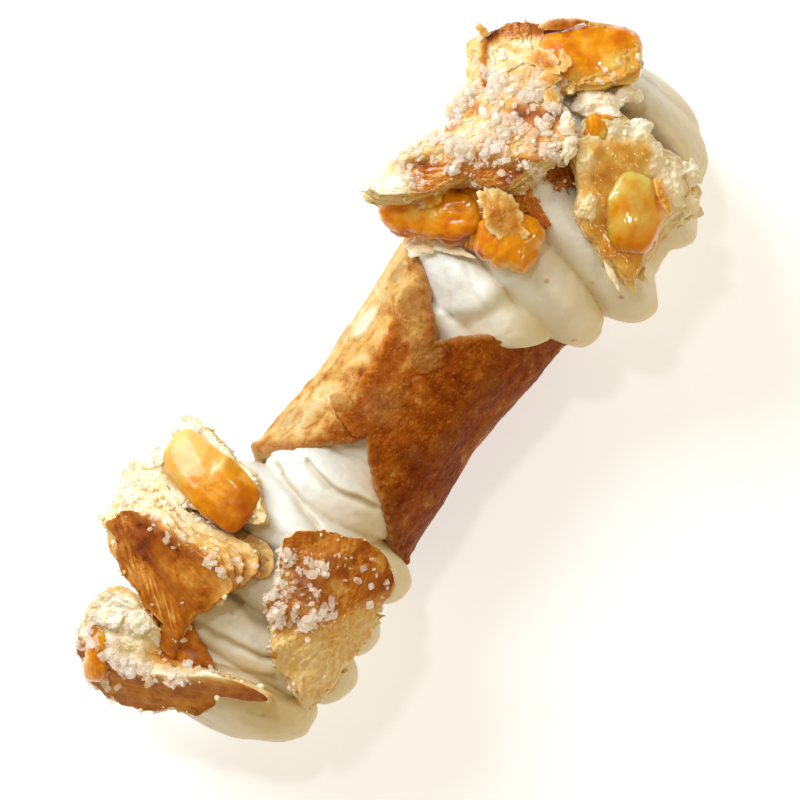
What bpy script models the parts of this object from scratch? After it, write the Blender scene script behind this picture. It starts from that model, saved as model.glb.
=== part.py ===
"""A fried, rolled pastry tube filled with piped cream, with torn pieces of apple strudel on both ends.

The tube lies along X with its overlapped seam on top. Cream runs through the tube and swells out of both
ends in piped lobes, and the strudel pieces with their apple chunks sit on the two heaps of cream.
Lengths are in metres, +Z is up, and the origin is under the middle of the whole thing, where it rests.
"""

import math

import bmesh
import bpy
import numpy as np
from mathutils import Vector

MM = 0.001

# The rolled shell. Angles are taken round the X axis from straight up, positive towards +Y.
SHELL_RADIUS = 15.0 * MM
WALL = 2.4 * MM
NOTCH_ANGLE = math.radians(6)
NOTCH_HALF = 9.6 * MM
SIDE_HALF = 23.0 * MM
BACK_HALF = 34.0 * MM
FLAP_START = math.radians(-62)
FLAP_EDGE = math.radians(34)
FLAP_RISE = 1.3 * MM
FLAP_DEPTH = 2.0 * MM
FLAP_TIP_HALF = 6.5 * MM
RIM_STEP = 0.4 * MM
SIDE_SWEEP = 0.9
FLAP_CLIMB = math.radians(40)
FLAP_SINK = 0.2 * MM
SHELL_COLUMNS = 36
SHELL_ROWS = 14
FLAP_COLUMNS = 12
FLAP_ROWS = 10
CLEARANCE_ROWS = 6

# What every two touching pieces keep between them, how far the round undersides are flattened, and the
# distance at which two corners count as one.
GAP = 0.35 * MM
FLAT = 0.5 * MM
MERGE = 0.01 * MM

# Cream at each end: a low mass, then the fat piped lobes that cross it. Each has its centre, half sizes
# along X, Y and Z, and turn about Z in degrees, with lengths in mm.
UPPER_CREAM = (
    ((40.0, 0.0, 16.5), (21.0, 21.0, 15.5), 0),
    ((20.0, 1.0, 16.5), (8.5, 12.0, 15.0), -4),
    ((29.5, -2.0, 18.5), (8.5, 18.5, 17.5), -12),
    ((39.0, 0.5, 18.5), (9.0, 25.5, 19.5), -6),
    ((48.5, 0.5, 18.5), (9.0, 24.0, 20.0), -2),
    ((57.0, 1.0, 17.5), (8.5, 19.5, 17.0), 6),
    ((61.5, -1.0, 16.0), (6.0, 13.5, 12.5), 6),
)
LOWER_CREAM = (
    ((-40.0, 0.0, 14.5), (19.0, 17.0, 13.5), 0),
    ((-20.0, 0.5, 16.5), (8.5, 12.5, 15.0), 2),
    ((-28.0, 0.5, 17.0), (8.0, 19.5, 16.5), 6),
    ((-36.5, 0.0, 16.0), (8.5, 21.0, 17.0), 4),
    ((-45.5, -0.5, 15.3), (8.5, 20.5, 16.0), 3),
    ((-54.0, -2.5, 13.5), (8.5, 16.5, 14.0), 2),
    ((-58.5, -3.0, 12.0), (6.0, 11.0, 9.5), 2),
)
CORE_HALF = 26.0 * MM
CORE_SIDES = 24

# Strudel pieces: centre, reach at every 30 degrees round from +X as seen from above, half thickness, slopes
# about X and Y in degrees, and how far the middle stands above the rim, with lengths in mm. Apple and
# filling come first, and the pastry is shaped round them.
FRUIT = {
    "apple_upper_front": (
        (29.0, 2.0, 36.5), (4, 5.5, 6, 5.5, 5, 5, 5, 5, 5.5, 6, 5, 4), 4.0, (-4, -8), 0.5),
    "apple_upper_right": (
        (43.5, -12.0, 39.8), (4.5, 5, 5, 5, 4.5, 4.5, 4.5, 5, 5, 4.5, 5, 4.5), 3.6, (26, 4), 0.5),
    "apple_upper_end": (
        (58.5, 8.0, 38.6), (5, 4.5, 5, 6, 6.5, 6.5, 5.5, 4.5, 4.5, 6, 7, 6.5), 3.6, (-16, 20), 0.5),
    "filling_upper_left": (
        (26.0, 14.0, 30.0), (4.5, 4.5, 4.5, 5.5, 6, 6, 5, 4, 4, 5, 6, 6), 3.2, (-34, -14), 0.3),
    "apple_lower_left": (
        (-29.5, 17.5, 31.5), (4.5, 5, 7, 8, 7, 4.5, 4, 5, 6.5, 7.5, 7.5, 5), 4.2, (-18, 4), 0.6),
    "apple_lower_end": (
        (-62.0, 15.5, 22.0), (2, 3, 4, 3, 2, 1.5, 2, 3, 4, 3, 2, 1.5), 3.4, (-16, -30), 0.2),
    "filling_lower_end": (
        (-53.8, 4.0, 28.2), (2.5, 3, 4, 5, 4.5, 3, 2.5, 3, 4, 5, 4, 2.5), 2.6, (0, -10), 0.3),
}
PASTRY = {
    "crust_upper_left": (
        (40.0, 13.5, 37.6), (15, 12, 9, 8, 8.5, 17, 11, 8.5, 9.5, 9.5, 13, 13), 5.0, (-28, 6), 3.0),
    "crust_upper_end": (
        (55.5, 13.0, 33.6), (6, 5, 6, 9, 11.5, 11.5, 7, 6, 6.5, 8, 13.5, 11), 4.8, (-26, 18), 0.5),
    "pastry_upper_right": (
        (46.0, -9.0, 36.4), (9.5, 11, 12.5, 10.5, 8.5, 9, 10.5, 12.5, 10.5, 9, 11, 10), 3.8, (23, 6), 1.5),
    "pastry_upper_left": (
        (39.0, 2.5, 35.8), (8, 5.5, 5.5, 6, 6.5, 5.5, 6, 7.5, 6.5, 5, 5, 6.5), 3.2, (6, 0), 0.5),
    "crust_lower_left": (
        (-41.5, 15.5, 29.0), (8, 9.5, 14.5, 13, 10.5, 9, 9.5, 12.5, 11, 11.5, 15, 10), 5.0, (-22, -22), 2.0),
    "pastry_lower_left": (
        (-29.0, 17.5, 26.0), (5, 6.5, 9, 9, 8, 7, 6, 6.5, 8, 9, 8, 5.5), 3.4, (-26, 4), 0.5),
    "crust_lower_end": (
        (-58.8, 8.5, 22.0), (4, 7.5, 12, 13, 11.5, 9.5, 8, 7.5, 8.5, 13, 7, 4), 5.6, (-10, -34), 1.0),
    "crust_lower_right": (
        (-35.0, -9.0, 32.0), (12, 12, 12, 9, 9.5, 10, 13, 14.5, 10.5, 8.5, 8.5, 11.5), 4.0, (20, -8), 2.6),
}
OUTLINE_STEPS = 17
OUTLINE_RINGS = 8
LOBE_STEPS = 14
LOBE_RINGS = 8

# How a torn piece is formed: the powers that round its outline and flatten its height, how ragged its
# outline is, and how far every other ring of its rim stands out as a layer.
FRUIT_SHAPE = (0.62, 0.78, 0.03, 0.0)
PASTRY_SHAPE = (0.45, 0.85, 0.05, 0.045)
FLOOR_BLOCK = 0.3


def clear_scene():
    """Empties the file of objects, so that only the pastry is left."""
    for old in list(bpy.data.objects):
        bpy.data.objects.remove(old, do_unlink=True)


def new_collection(name):
    group = bpy.data.collections.new(name)
    bpy.context.scene.collection.children.link(group)
    return group


def new_material(name, colour, roughness):
    """A Principled finish from linear red, green and blue."""
    finish = bpy.data.materials.new(name)
    finish.use_nodes = True
    shader = finish.node_tree.nodes["Principled BSDF"]
    shader.inputs["Base Color"].default_value = (*colour, 1)
    shader.inputs["Roughness"].default_value = roughness
    shader.inputs["Metallic"].default_value = 0
    finish.diffuse_color = (*colour, 1)
    return finish


def new_object(name, mesh, group, parent, finish=None):
    piece = bpy.data.objects.new(name, mesh)
    group.objects.link(piece)
    piece.parent = parent
    if finish:
        mesh.materials.append(finish)
        mesh.shade_smooth()
        mesh.set_sharp_from_angle(angle=math.radians(40))
    else:
        piece.hide_render = True
        piece.display_type = "WIRE"
    return piece


def add_boolean(piece, other, operation):
    """One Boolean with an object or with a whole collection."""
    cut = piece.modifiers.new(f"{operation.lower()} {other.name}", "BOOLEAN")
    cut.operation = operation
    cut.solver = "EXACT"
    if isinstance(other, bpy.types.Collection):
        cut.operand_type = "COLLECTION"
        cut.collection = other
    else:
        cut.object = other


def shell_half_length(angle):
    """Half the shell's length at an angle: shortest at the notch, longest at the back, as a diamond sheet
    of dough wrapped round a tube leaves it."""
    turn = abs((angle - NOTCH_ANGLE + math.pi) % (2 * math.pi) - math.pi)
    if turn < math.pi / 2:
        return NOTCH_HALF + (SIDE_HALF - NOTCH_HALF) * math.sin(turn) ** SIDE_SWEEP
    return SIDE_HALF + (BACK_HALF - SIDE_HALF) * (0.5 - 0.5 * math.cos(2 * turn - math.pi))


def flap_half_length(angle):
    """Half the length of the outer layer: just inside the shell's edge up to the notch, then narrowing."""
    if angle <= NOTCH_ANGLE:
        return shell_half_length(angle) - RIM_STEP
    share = (angle - NOTCH_ANGLE) / (FLAP_EDGE - NOTCH_ANGLE)
    start = NOTCH_HALF - RIM_STEP
    return start + (FLAP_TIP_HALF - start) * share**2


def flap_radius(angle):
    """The outer layer climbs from the shell's own surface onto the layer beneath it."""
    share = min(1, (angle - FLAP_START) / FLAP_CLIMB)
    return SHELL_RADIUS - FLAP_SINK + (FLAP_RISE + FLAP_SINK) * share**2 * (3 - 2 * share)


def rolled_sheet(name, start, end, columns, rows, radius_at, half_at):
    """An open sheet bent round the X axis between two angles, cut to a half length at each angle."""
    bm = bmesh.new()
    bmesh.ops.create_grid(bm, x_segments=rows, y_segments=columns, size=1)
    for vert in bm.verts:
        angle = start + (vert.co.y + 1) / 2 * (end - start)
        radius = radius_at(angle)
        x = vert.co.x * half_at(angle)
        vert.co = Vector((x, radius * math.sin(angle), radius * math.cos(angle)))
    bmesh.ops.remove_doubles(bm, verts=bm.verts, dist=MERGE)
    bmesh.ops.recalc_face_normals(bm, faces=bm.faces)
    middle = bm.faces[len(bm.faces) // 2]
    outward = Vector((0, *middle.calc_center_median()[1:]))
    if middle.normal.dot(outward) < 0:
        bmesh.ops.reverse_faces(bm, faces=bm.faces)
    mesh = bpy.data.meshes.new(name)
    bm.to_mesh(mesh)
    bm.free()
    return mesh


def add_thickness(piece, depth):
    wall = piece.modifiers.new("wall", "SOLIDIFY")
    wall.thickness = depth
    wall.offset = -1


def build_shell(group, helpers, root, floor):
    """The fried shell: a rolled wall, with the outer layer's end lying on it as a flap along the seam."""
    dough = new_material("fried dough", (0.55, 0.24, 0.07), 0.6)
    place = Vector((0, 0, SHELL_RADIUS - FLAT))
    wall = rolled_sheet(
        "shell", -math.pi, math.pi, SHELL_COLUMNS, SHELL_ROWS, lambda a: SHELL_RADIUS, shell_half_length
    )
    shell = new_object("shell", wall, group, root, dough)
    shell.location = place
    add_thickness(shell, WALL)
    layer = rolled_sheet(
        "flap", FLAP_START, FLAP_EDGE, FLAP_COLUMNS, FLAP_ROWS, flap_radius, flap_half_length
    )
    flap = new_object("flap", layer, helpers, root)
    flap.location = place
    add_thickness(flap, FLAP_DEPTH)
    add_boolean(shell, flap, "UNION")
    add_boolean(shell, floor, "DIFFERENCE")
    return place


def shell_clearance(helpers, root, place):
    """The space that cream keeps clear of: the shell's wall, a gap thicker on every side."""
    space = rolled_sheet(
        "shell_clearance", -math.pi, math.pi, SHELL_COLUMNS, CLEARANCE_ROWS,
        lambda a: SHELL_RADIUS + GAP + (FLAP_RISE if FLAP_START < a < FLAP_EDGE + 0.1 else 0),
        lambda a: shell_half_length(a) + GAP,
    )
    clearance = new_object("shell_clearance", space, helpers, root)
    clearance.location = place
    add_thickness(clearance, WALL + FLAP_RISE + 2 * GAP)
    return clearance


def outline_reach(reach, turn):
    """How far a piece reaches at a turn, on a smooth closed curve through its equally spaced reaches."""
    place = turn / (2 * math.pi) * len(reach)
    first = math.floor(place)
    share = place - first
    before, here, after, beyond = (reach[(first + k) % len(reach)] for k in (-1, 0, 1, 2))
    bend = 2 * before - 5 * here + 4 * after - beyond
    swing = 3 * here - before - 3 * after + beyond
    return here + share / 2 * (after - before + share * (bend + share * swing))


def torn_piece(name, size, shape, seed):
    """A torn lump: a ball whose outline follows its reaches, flattened, domed, with a ragged layered rim."""
    _, reach, thick, slope, dome = size
    stretch = [1 / math.cos(math.radians(angle)) for angle in (slope[1], slope[0])]
    roundness, flatness, ragged, layers = shape
    phase = np.random.default_rng(seed).uniform(0, 2 * math.pi, 4)
    bm = bmesh.new()
    bmesh.ops.create_uvsphere(bm, u_segments=OUTLINE_STEPS, v_segments=OUTLINE_RINGS, radius=1)
    for vert in bm.verts:
        turn = math.atan2(vert.co.y, vert.co.x)
        lift = max(-1, min(1, vert.co.z))
        ring = round(math.acos(lift) / math.pi * OUTLINE_RINGS)
        rough = 1 + ragged * sum(math.sin(k * turn + phase[k - 3]) for k in (3, 4, 5, 6))
        side = math.sqrt(1 - lift * lift) ** roundness * (1 + layers * (-1) ** ring)
        out = outline_reach(reach, turn) * side * rough
        height = math.copysign(abs(lift) ** flatness, lift) * thick - dome * side * side
        vert.co = Vector((out * math.cos(turn) * stretch[0], out * math.sin(turn) * stretch[1], height)) * MM
    mesh = bpy.data.meshes.new(name)
    bm.to_mesh(mesh)
    bm.free()
    return mesh


def set_place(piece, size):
    centre, _, _, slope, _ = size
    piece.location = Vector(centre) * MM
    piece.rotation_euler = (math.radians(slope[0]), math.radians(slope[1]), 0)


def build_pieces(group, helpers, root):
    """Apple, filling and pastry pieces. Each keeps a gap to the ones before it, which lie against it."""
    apple = new_material("baked apple", (0.75, 0.33, 0.04), 0.25)
    pastry = new_material("puff pastry", (0.62, 0.32, 0.11), 0.65)
    cutters = []
    for number, (name, size) in enumerate({**FRUIT, **PASTRY}.items()):
        is_fruit = name in FRUIT
        mesh = torn_piece(name, size, FRUIT_SHAPE if is_fruit else PASTRY_SHAPE, number)
        piece = new_object(name, mesh, group, root, apple if is_fruit else pastry)
        set_place(piece, size)
        for cutter in cutters:
            add_boolean(piece, cutter, "DIFFERENCE")
        cutter = new_object(f"{name}_clearance", mesh.copy(), helpers, root)
        set_place(cutter, size)
        grow = cutter.modifiers.new("gap", "DISPLACE")
        grow.strength = GAP
        grow.mid_level = 0
        cutters.append(cutter)
    return cutters


def build_cream(group, helpers, root, cutters):
    """One body of cream: a core through the shell, and fat piped lobes out of both of its ends."""
    cream_finish = new_material("piped cream", (0.9, 0.83, 0.66), 0.45)
    bm = bmesh.new()
    core_radius = SHELL_RADIUS - WALL - GAP
    bmesh.ops.create_cone(
        bm, cap_ends=True, segments=CORE_SIDES, radius1=core_radius, radius2=core_radius, depth=2 * CORE_HALF
    )
    mesh = bpy.data.meshes.new("cream")
    bm.to_mesh(mesh)
    bm.free()
    cream = new_object("cream", mesh, group, root, cream_finish)
    cream.location = (0, 0, SHELL_RADIUS - FLAT)
    cream.rotation_euler = (0, math.pi / 2, 0)
    lobes = new_collection("cream lobes")
    for number, (centre, half, turn) in enumerate(UPPER_CREAM + LOWER_CREAM):
        bm = bmesh.new()
        bmesh.ops.create_uvsphere(bm, u_segments=LOBE_STEPS, v_segments=LOBE_RINGS, radius=1)
        bmesh.ops.scale(bm, vec=Vector(half) * MM, verts=bm.verts)
        mesh = bpy.data.meshes.new(f"lobe_{number + 1}")
        bm.to_mesh(mesh)
        bm.free()
        lobe = new_object(mesh.name, mesh, lobes, root)
        lobe.location = Vector(centre) * MM
        lobe.rotation_euler = (0, 0, math.radians(turn))
    add_boolean(cream, lobes, "UNION")
    for cutter in cutters:
        add_boolean(cream, cutter, "DIFFERENCE")


def add_floor(helpers):
    """A block below z = 0, which flattens what would reach under the surface that the pastry lies on."""
    bm = bmesh.new()
    bmesh.ops.create_cube(bm, size=FLOOR_BLOCK)
    mesh = bpy.data.meshes.new("floor_cut")
    bm.to_mesh(mesh)
    bm.free()
    block = new_object("floor_cut", mesh, helpers, None)
    block.location = (0, 0, -FLOOR_BLOCK / 2)
    return block


def centre_on_box(root, group):
    """Moves everything over the floor so that the origin is under the middle of the whole box."""
    bpy.context.view_layer.update()
    graph = bpy.context.evaluated_depsgraph_get()
    low = np.full(3, np.inf)
    high = -low
    for piece in group.objects:
        if piece.type != "MESH":
            continue
        solid = piece.evaluated_get(graph)
        points = np.array([solid.matrix_world @ vert.co for vert in solid.data.vertices])
        low = np.minimum(low, points.min(axis=0))
        high = np.maximum(high, points.max(axis=0))
    root.location = (-(low[0] + high[0]) / 2, -(low[1] + high[1]) / 2, 0)


clear_scene()
parts = new_collection("filled pastry tube")
helpers = new_collection("cutters")
root = bpy.data.objects.new("whole_pastry", None)
parts.objects.link(root)
floor = add_floor(helpers)
shell_place = build_shell(parts, helpers, root, floor)
piece_cutters = build_pieces(parts, helpers, root)
clearance = shell_clearance(helpers, root, shell_place)
build_cream(parts, helpers, root, [clearance, floor, *piece_cutters])
centre_on_box(root, parts)
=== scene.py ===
import math

import bpy
import numpy as np
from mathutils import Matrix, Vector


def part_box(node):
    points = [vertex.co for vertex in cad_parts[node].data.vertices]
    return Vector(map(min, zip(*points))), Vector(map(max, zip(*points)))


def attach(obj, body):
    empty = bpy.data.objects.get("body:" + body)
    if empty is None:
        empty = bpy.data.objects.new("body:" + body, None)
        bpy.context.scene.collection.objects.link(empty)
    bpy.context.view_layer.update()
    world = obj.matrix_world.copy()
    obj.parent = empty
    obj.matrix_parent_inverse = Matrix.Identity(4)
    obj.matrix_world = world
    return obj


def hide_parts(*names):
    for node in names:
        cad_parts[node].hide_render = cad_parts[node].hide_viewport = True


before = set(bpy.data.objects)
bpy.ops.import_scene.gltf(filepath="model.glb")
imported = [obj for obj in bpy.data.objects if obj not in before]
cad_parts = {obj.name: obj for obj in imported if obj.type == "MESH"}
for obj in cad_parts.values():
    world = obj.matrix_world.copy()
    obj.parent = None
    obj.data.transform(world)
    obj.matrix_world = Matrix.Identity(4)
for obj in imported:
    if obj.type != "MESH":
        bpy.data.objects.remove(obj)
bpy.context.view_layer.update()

# ---------------------------------------------------------------------------------------------------------
# The shell: one sheet of wheat dough rolled round a metal tube and fried, so that its two ends overlap in a
# torn, lifted seam along the top. Frying blisters the skin and browns it unevenly.

MM = 0.001
TAU = 2 * math.pi

# The wall's thickness, and half the shell's length in its notches, at its sides and at its back (mm).
WALL = 2.4
NOTCH_HALF = 9.6
SIDE_HALF = 23.0
BACK_HALF = 34.0
NOTCH_ANGLE = math.radians(6)

# Where the outer layer starts to climb over the inner one, how far round it climbs, and how high (mm).
FLAP_START = math.radians(-62)
FLAP_CLIMB = math.radians(40)
FLAP_STEP = 1.25

# Points of the shell's grid: round the tube, along its outside, back along its inside, and over each rim.
SHELL_ROUND = 340
SHELL_ALONG = 190
INNER_ROWS = SHELL_ALONG // 4
RIM_ROWS = 10

# The tube's radius, its middle on the floor, and how high its axis lies: a little less than the radius,
# because it rests on a small flat spot (mm).
shell_low, shell_high = (np.array(corner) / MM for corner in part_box("shell"))
SHELL_RADIUS = (shell_high[1] - shell_low[1]) / 2
SHELL_FLAT = 0.5
MIDDLE = (shell_low + shell_high) / 2 * (1, 1, 0)
AXIS_HEIGHT = SHELL_RADIUS - SHELL_FLAT

noise_table = np.random.default_rng(7)
NOISE_ORDER = noise_table.permutation(256)
NOISE_SLOPES = noise_table.normal(size=(256, 3))
NOISE_SLOPES /= np.linalg.norm(NOISE_SLOPES, axis=1)[:, None]
NOISE_POINTS = noise_table.uniform(size=(256, 3))


def corner_number(cell, seed):
    """A number from 0 to 255 for each whole-number cell, mixed by three looks in one shuffled table."""
    first = NOISE_ORDER[(cell[..., 0] + seed * 37) & 255]
    second = NOISE_ORDER[(first + cell[..., 1]) & 255]
    return NOISE_ORDER[(second + cell[..., 2]) & 255]


def soft_noise(points, size, seed=0):
    """Gradient noise from about -1 to 1 with lumps of the given size: each corner of a unit cell gives a
    slope times the way to it, and the eight are blended by 6t^5 - 15t^4 + 10t^3 along each axis."""
    place = np.asarray(points, float) / size
    base = np.floor(place).astype(int)
    part = place - base
    ease = part**3 * (part * (part * 6 - 15) + 10)
    total = np.zeros(place.shape[:-1])
    for corner in np.ndindex(2, 2, 2):
        slope = NOISE_SLOPES[corner_number(base + corner, seed)]
        share = np.prod(np.where(corner, ease, 1 - ease), axis=-1)
        total += share * ((part - corner) * slope).sum(axis=-1)
    return total * 1.6


def layered_noise(points, size, layers, seed=0):
    """A sum of soft noises, each half the size and half the height of the one before."""
    return sum(soft_noise(points, size / 2**k, seed + k) / 2**k for k in range(layers))


def cell_distance(points, size, seed=0):
    """How far each point is from the nearest and second nearest of one random point per cell, in cells."""
    place = np.asarray(points, float) / size
    base = np.floor(place).astype(int)
    nearest = np.full(place.shape[:-1], 9.0)
    second = nearest.copy()
    for step in np.ndindex(3, 3, 3):
        cell = base + np.array(step) - 1
        far = np.linalg.norm(cell + NOISE_POINTS[corner_number(cell, seed)] - place, axis=-1)
        second = np.minimum(second, np.maximum(nearest, far))
        nearest = np.minimum(nearest, far)
    return nearest, second


def smooth_step(low, high, value):
    """0 below low, 1 above high, and 3t^2 - 2t^3 between them."""
    share = np.clip((value - low) / (high - low), 0, 1)
    return share * share * (3 - 2 * share)


def bell(value, width):
    """1 where the value is 0, falling off on both sides as e^(-(value / width)^2)."""
    return np.exp(-((value / width) ** 2))


def in_space(x, y, z):
    """Points from x, y and z, each an array or a number."""
    return np.stack(np.broadcast_arrays(x, y, z), axis=-1).astype(float)


def grid_faces(rows, columns, closed_rows=False):
    """Four-sided faces of a grid that closes round its columns, and round its rows too where asked."""
    row = np.arange(rows if closed_rows else rows - 1)[:, None]
    column = np.arange(columns)[None, :]
    after = (column + 1) % columns
    below = (row + 1) % rows
    corners = (
        row * columns + column, below * columns + column,
        below * columns + after, row * columns + after)
    return np.stack(corners, axis=-1).reshape(-1, 4)


def close_poles(points):
    """Draws the first and the last row of a polar grid together, each to one point."""
    points[0] = points[0].mean(axis=0)
    points[-1] = points[-1].mean(axis=0)


def new_piece(name, points, faces, finish, nodes=(), masks=None, smooth=True):
    """A mesh object from an array of points in mm about the tube's middle and a list of face arrays. Its
    masks become point attributes, and it rides on the one body that there is."""
    mesh = bpy.data.meshes.new(name)
    points = (np.asarray(points, float).reshape(-1, 3) + MIDDLE) * MM
    corners = np.concatenate([part.ravel() for part in faces])
    sizes = np.concatenate([np.full(len(part), part.shape[1]) for part in faces])
    mesh.vertices.add(len(points))
    mesh.vertices.foreach_set("co", points.ravel())
    mesh.loops.add(len(corners))
    mesh.loops.foreach_set("vertex_index", corners)
    mesh.polygons.add(len(sizes))
    mesh.polygons.foreach_set("loop_start", np.cumsum(sizes) - sizes)
    mesh.polygons.foreach_set("use_smooth", np.full(len(sizes), smooth))
    mesh.update(calc_edges=True)
    for key, values in (masks or {}).items():
        layer = mesh.attributes.new(key, "FLOAT", "POINT")
        layer.data.foreach_set("value", np.clip(values, 0, 1).astype(np.float32).ravel())
    mesh.materials.append(finish)
    piece = bpy.data.objects.new(name, mesh)
    bpy.context.scene.collection.objects.link(piece)
    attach(piece, "root")
    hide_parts(*nodes)


def linear(hex_colour):
    """An sRGB hex colour as linear red, green, blue and 1."""
    parts = [int(hex_colour[k:k + 2], 16) / 255 for k in (1, 3, 5)]
    return [p / 12.92 if p <= 0.04045 else ((p + 0.055) / 1.055) ** 2.4 for p in parts] + [1]


def new_finish(name, **settings):
    """A material with one Principled shader, whose sockets take the given values."""
    finish = bpy.data.materials.new(name)
    finish.use_nodes = True
    shader = finish.node_tree.nodes["Principled BSDF"]
    for key, value in settings.items():
        shader.inputs[key.replace("_", " ")].default_value = value
    return finish, shader


def add_node(finish, kind, settings=None, links=None):
    """One shader node: settings are its properties or its sockets' values, and links feed its sockets."""
    node = finish.node_tree.nodes.new("ShaderNode" + kind)
    for key, value in (settings or {}).items():
        if isinstance(key, int) or key in node.inputs:
            node.inputs[key].default_value = value
        else:
            setattr(node, key, value)
    for key, source in (links or {}).items():
        finish.node_tree.links.new(source, node.inputs[key])
    return node


def colour_ramp(finish, factor, stops):
    """A ramp from pairs of place and hex colour."""
    ramp = add_node(finish, "ValToRGB", links={"Fac": factor})
    points = ramp.color_ramp.elements
    while len(points) < len(stops):
        points.new(0.5)
    for point, (place, colour) in zip(points, stops):
        point.position = place
        point.color = linear(colour)
    return ramp.outputs["Color"]


def blend_colours(finish, factor, below, above, way="MIX"):
    """Two colours, each a socket or a hex colour, blended by a factor."""
    mix = add_node(finish, "Mix", {"data_type": "RGBA", "blend_type": way})
    for socket, source in ((0, factor), (6, below), (7, above)):
        if isinstance(source, (int, float)):
            mix.inputs[socket].default_value = source
        elif isinstance(source, str):
            mix.inputs[socket].default_value = linear(source)
        else:
            finish.node_tree.links.new(source, mix.inputs[socket])
    return mix.outputs[2]


def math_of(finish, operation, first, second=0.0):
    """One Math node on sockets or numbers."""
    node = add_node(finish, "Math", {"operation": operation})
    for socket, source in ((0, first), (1, second)):
        if isinstance(source, (int, float)):
            node.inputs[socket].default_value = source
        else:
            finish.node_tree.links.new(source, node.inputs[socket])
    return node.outputs[0]


def about_zero(finish, source, strength):
    """A pattern from 0 to 1 moved to lie about zero, times a strength."""
    return math_of(finish, "MULTIPLY", math_of(finish, "SUBTRACT", source, 0.5), strength)


def pattern(finish, size_mm, detail=2.0, seed=0.0, stretch=(1, 1, 1), kind="TexNoise"):
    """Noise on object coordinates with lumps of about the given size, or how far the nearest of a Voronoi
    texture's random points is."""
    place = add_node(finish, "TexCoord").outputs["Object"]
    turned = add_node(finish, "Mapping", {"Location": (seed, seed * 0.7, seed * 0.3), "Scale": stretch},
                      {"Vector": place})
    noise = add_node(finish, kind, {"Scale": 1 / (size_mm * MM)}, {"Vector": turned.outputs[0]})
    if kind == "TexNoise":
        noise.inputs["Detail"].default_value = detail
        return noise.outputs["Fac"]
    return noise.outputs["Distance"]


def mask_of(finish, name, share=None):
    """A piece's mask as a socket, times a share where one is given."""
    mask = add_node(finish, "Attribute", {"attribute_name": name}).outputs["Fac"]
    return mask if share is None else math_of(finish, "MULTIPLY", mask, share)


def feed(finish, shader, socket, source):
    """Links a source to one of the shader's sockets."""
    finish.node_tree.links.new(source, shader.inputs[socket])


def add_relief(finish, shader, height, depth_mm, below=None):
    """A bump whose full height is the given depth, on top of the bump below it where there is one."""
    bump = add_node(finish, "Bump", {"Distance": depth_mm * MM}, {"Height": height})
    if below:
        finish.node_tree.links.new(below, bump.inputs["Normal"])
    feed(finish, shader, "Normal", bump.outputs[0])
    return bump.outputs[0]


def shell_half_length(angle):
    """Half the shell's length at an angle round it: a sine rise from the notch to the sides, then a cosine
    to the longest place at the back."""
    turn = np.abs((angle - NOTCH_ANGLE + math.pi) % TAU - math.pi)
    front = NOTCH_HALF + (SIDE_HALF - NOTCH_HALF) * np.sin(np.minimum(turn, math.pi / 2)) ** 0.9
    back = SIDE_HALF + (BACK_HALF - SIDE_HALF) * (0.5 - 0.5 * np.cos(2 * turn - math.pi))
    return np.where(turn < math.pi / 2, front, back)


# The torn edge of the outer layer: how far it reaches round the tube (degrees) along the tube (mm).
SEAM_X = (-16, -11.0, -10.2, -9.0, -7.6, -6.2, -3.9, -1.0, 4.0, 8.95, 9.9, 11.5, 16)
SEAM_TURN = (4, 5.5, 17, 30, 39, 36.5, 28, 29, 32, 36, 24, 8, 6)

# Blisters that stand out: place along the tube (mm), turn (degrees), half sizes (mm), height (mm), and how
# pale the skin over them is, where more than 1 is bright.
BLISTERS = (
    (12.4, 33, 3.2, 3.6, 0.20, 0.8),
    (7.0, 6, 3.2, 2.7, 0.34, 0.75),
    (-3.4, 9, 4.4, 3.5, 0.16, 0.36),
    (9.4, 21, 3.4, 3.2, 0.10, 0.42),
    (-7.4, 31, 1.8, 2.3, 0.34, 0.55),
    (5.6, 60, 3.6, 2.4, 0.05, 1.9),
    (8.0, -38, 3.4, 3.0, 0.26, 0.5),
    (-2.4, -36, 3.2, 2.8, 0.26, 0.4),
    (-11.0, 46, 2.6, 2.0, 0.30, 0.3),
    (-14.0, 62, 3.0, 2.4, 0.25, 0.5),
    (15.0, 58, 2.6, 2.0, 0.28, 0.7),
    (1.0, 82, 3.5, 2.6, 0.25, 0.4),
    (-10.5, -58, 2.8, 3.4, 0.30, 0.2),
    (3.0, -66, 3.6, 2.4, 0.30, 0.5),
    (14.0, -70, 2.8, 3.0, 0.28, 0.4),
)


def seam_distance(x, angle):
    """How far inside the outer layer a point lies, in mm round the tube, with a torn wander on the edge."""
    flat = in_space(x, angle * SHELL_RADIUS, 0)
    wander = 0.6 * soft_noise(flat * (1, 0.15, 1), 2.6, 3) + 0.45 * soft_noise(flat, 1.1, 4)
    turn = np.interp(x, SEAM_X, np.radians(SEAM_TURN))
    return (turn - angle) * SHELL_RADIUS + wander


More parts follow.
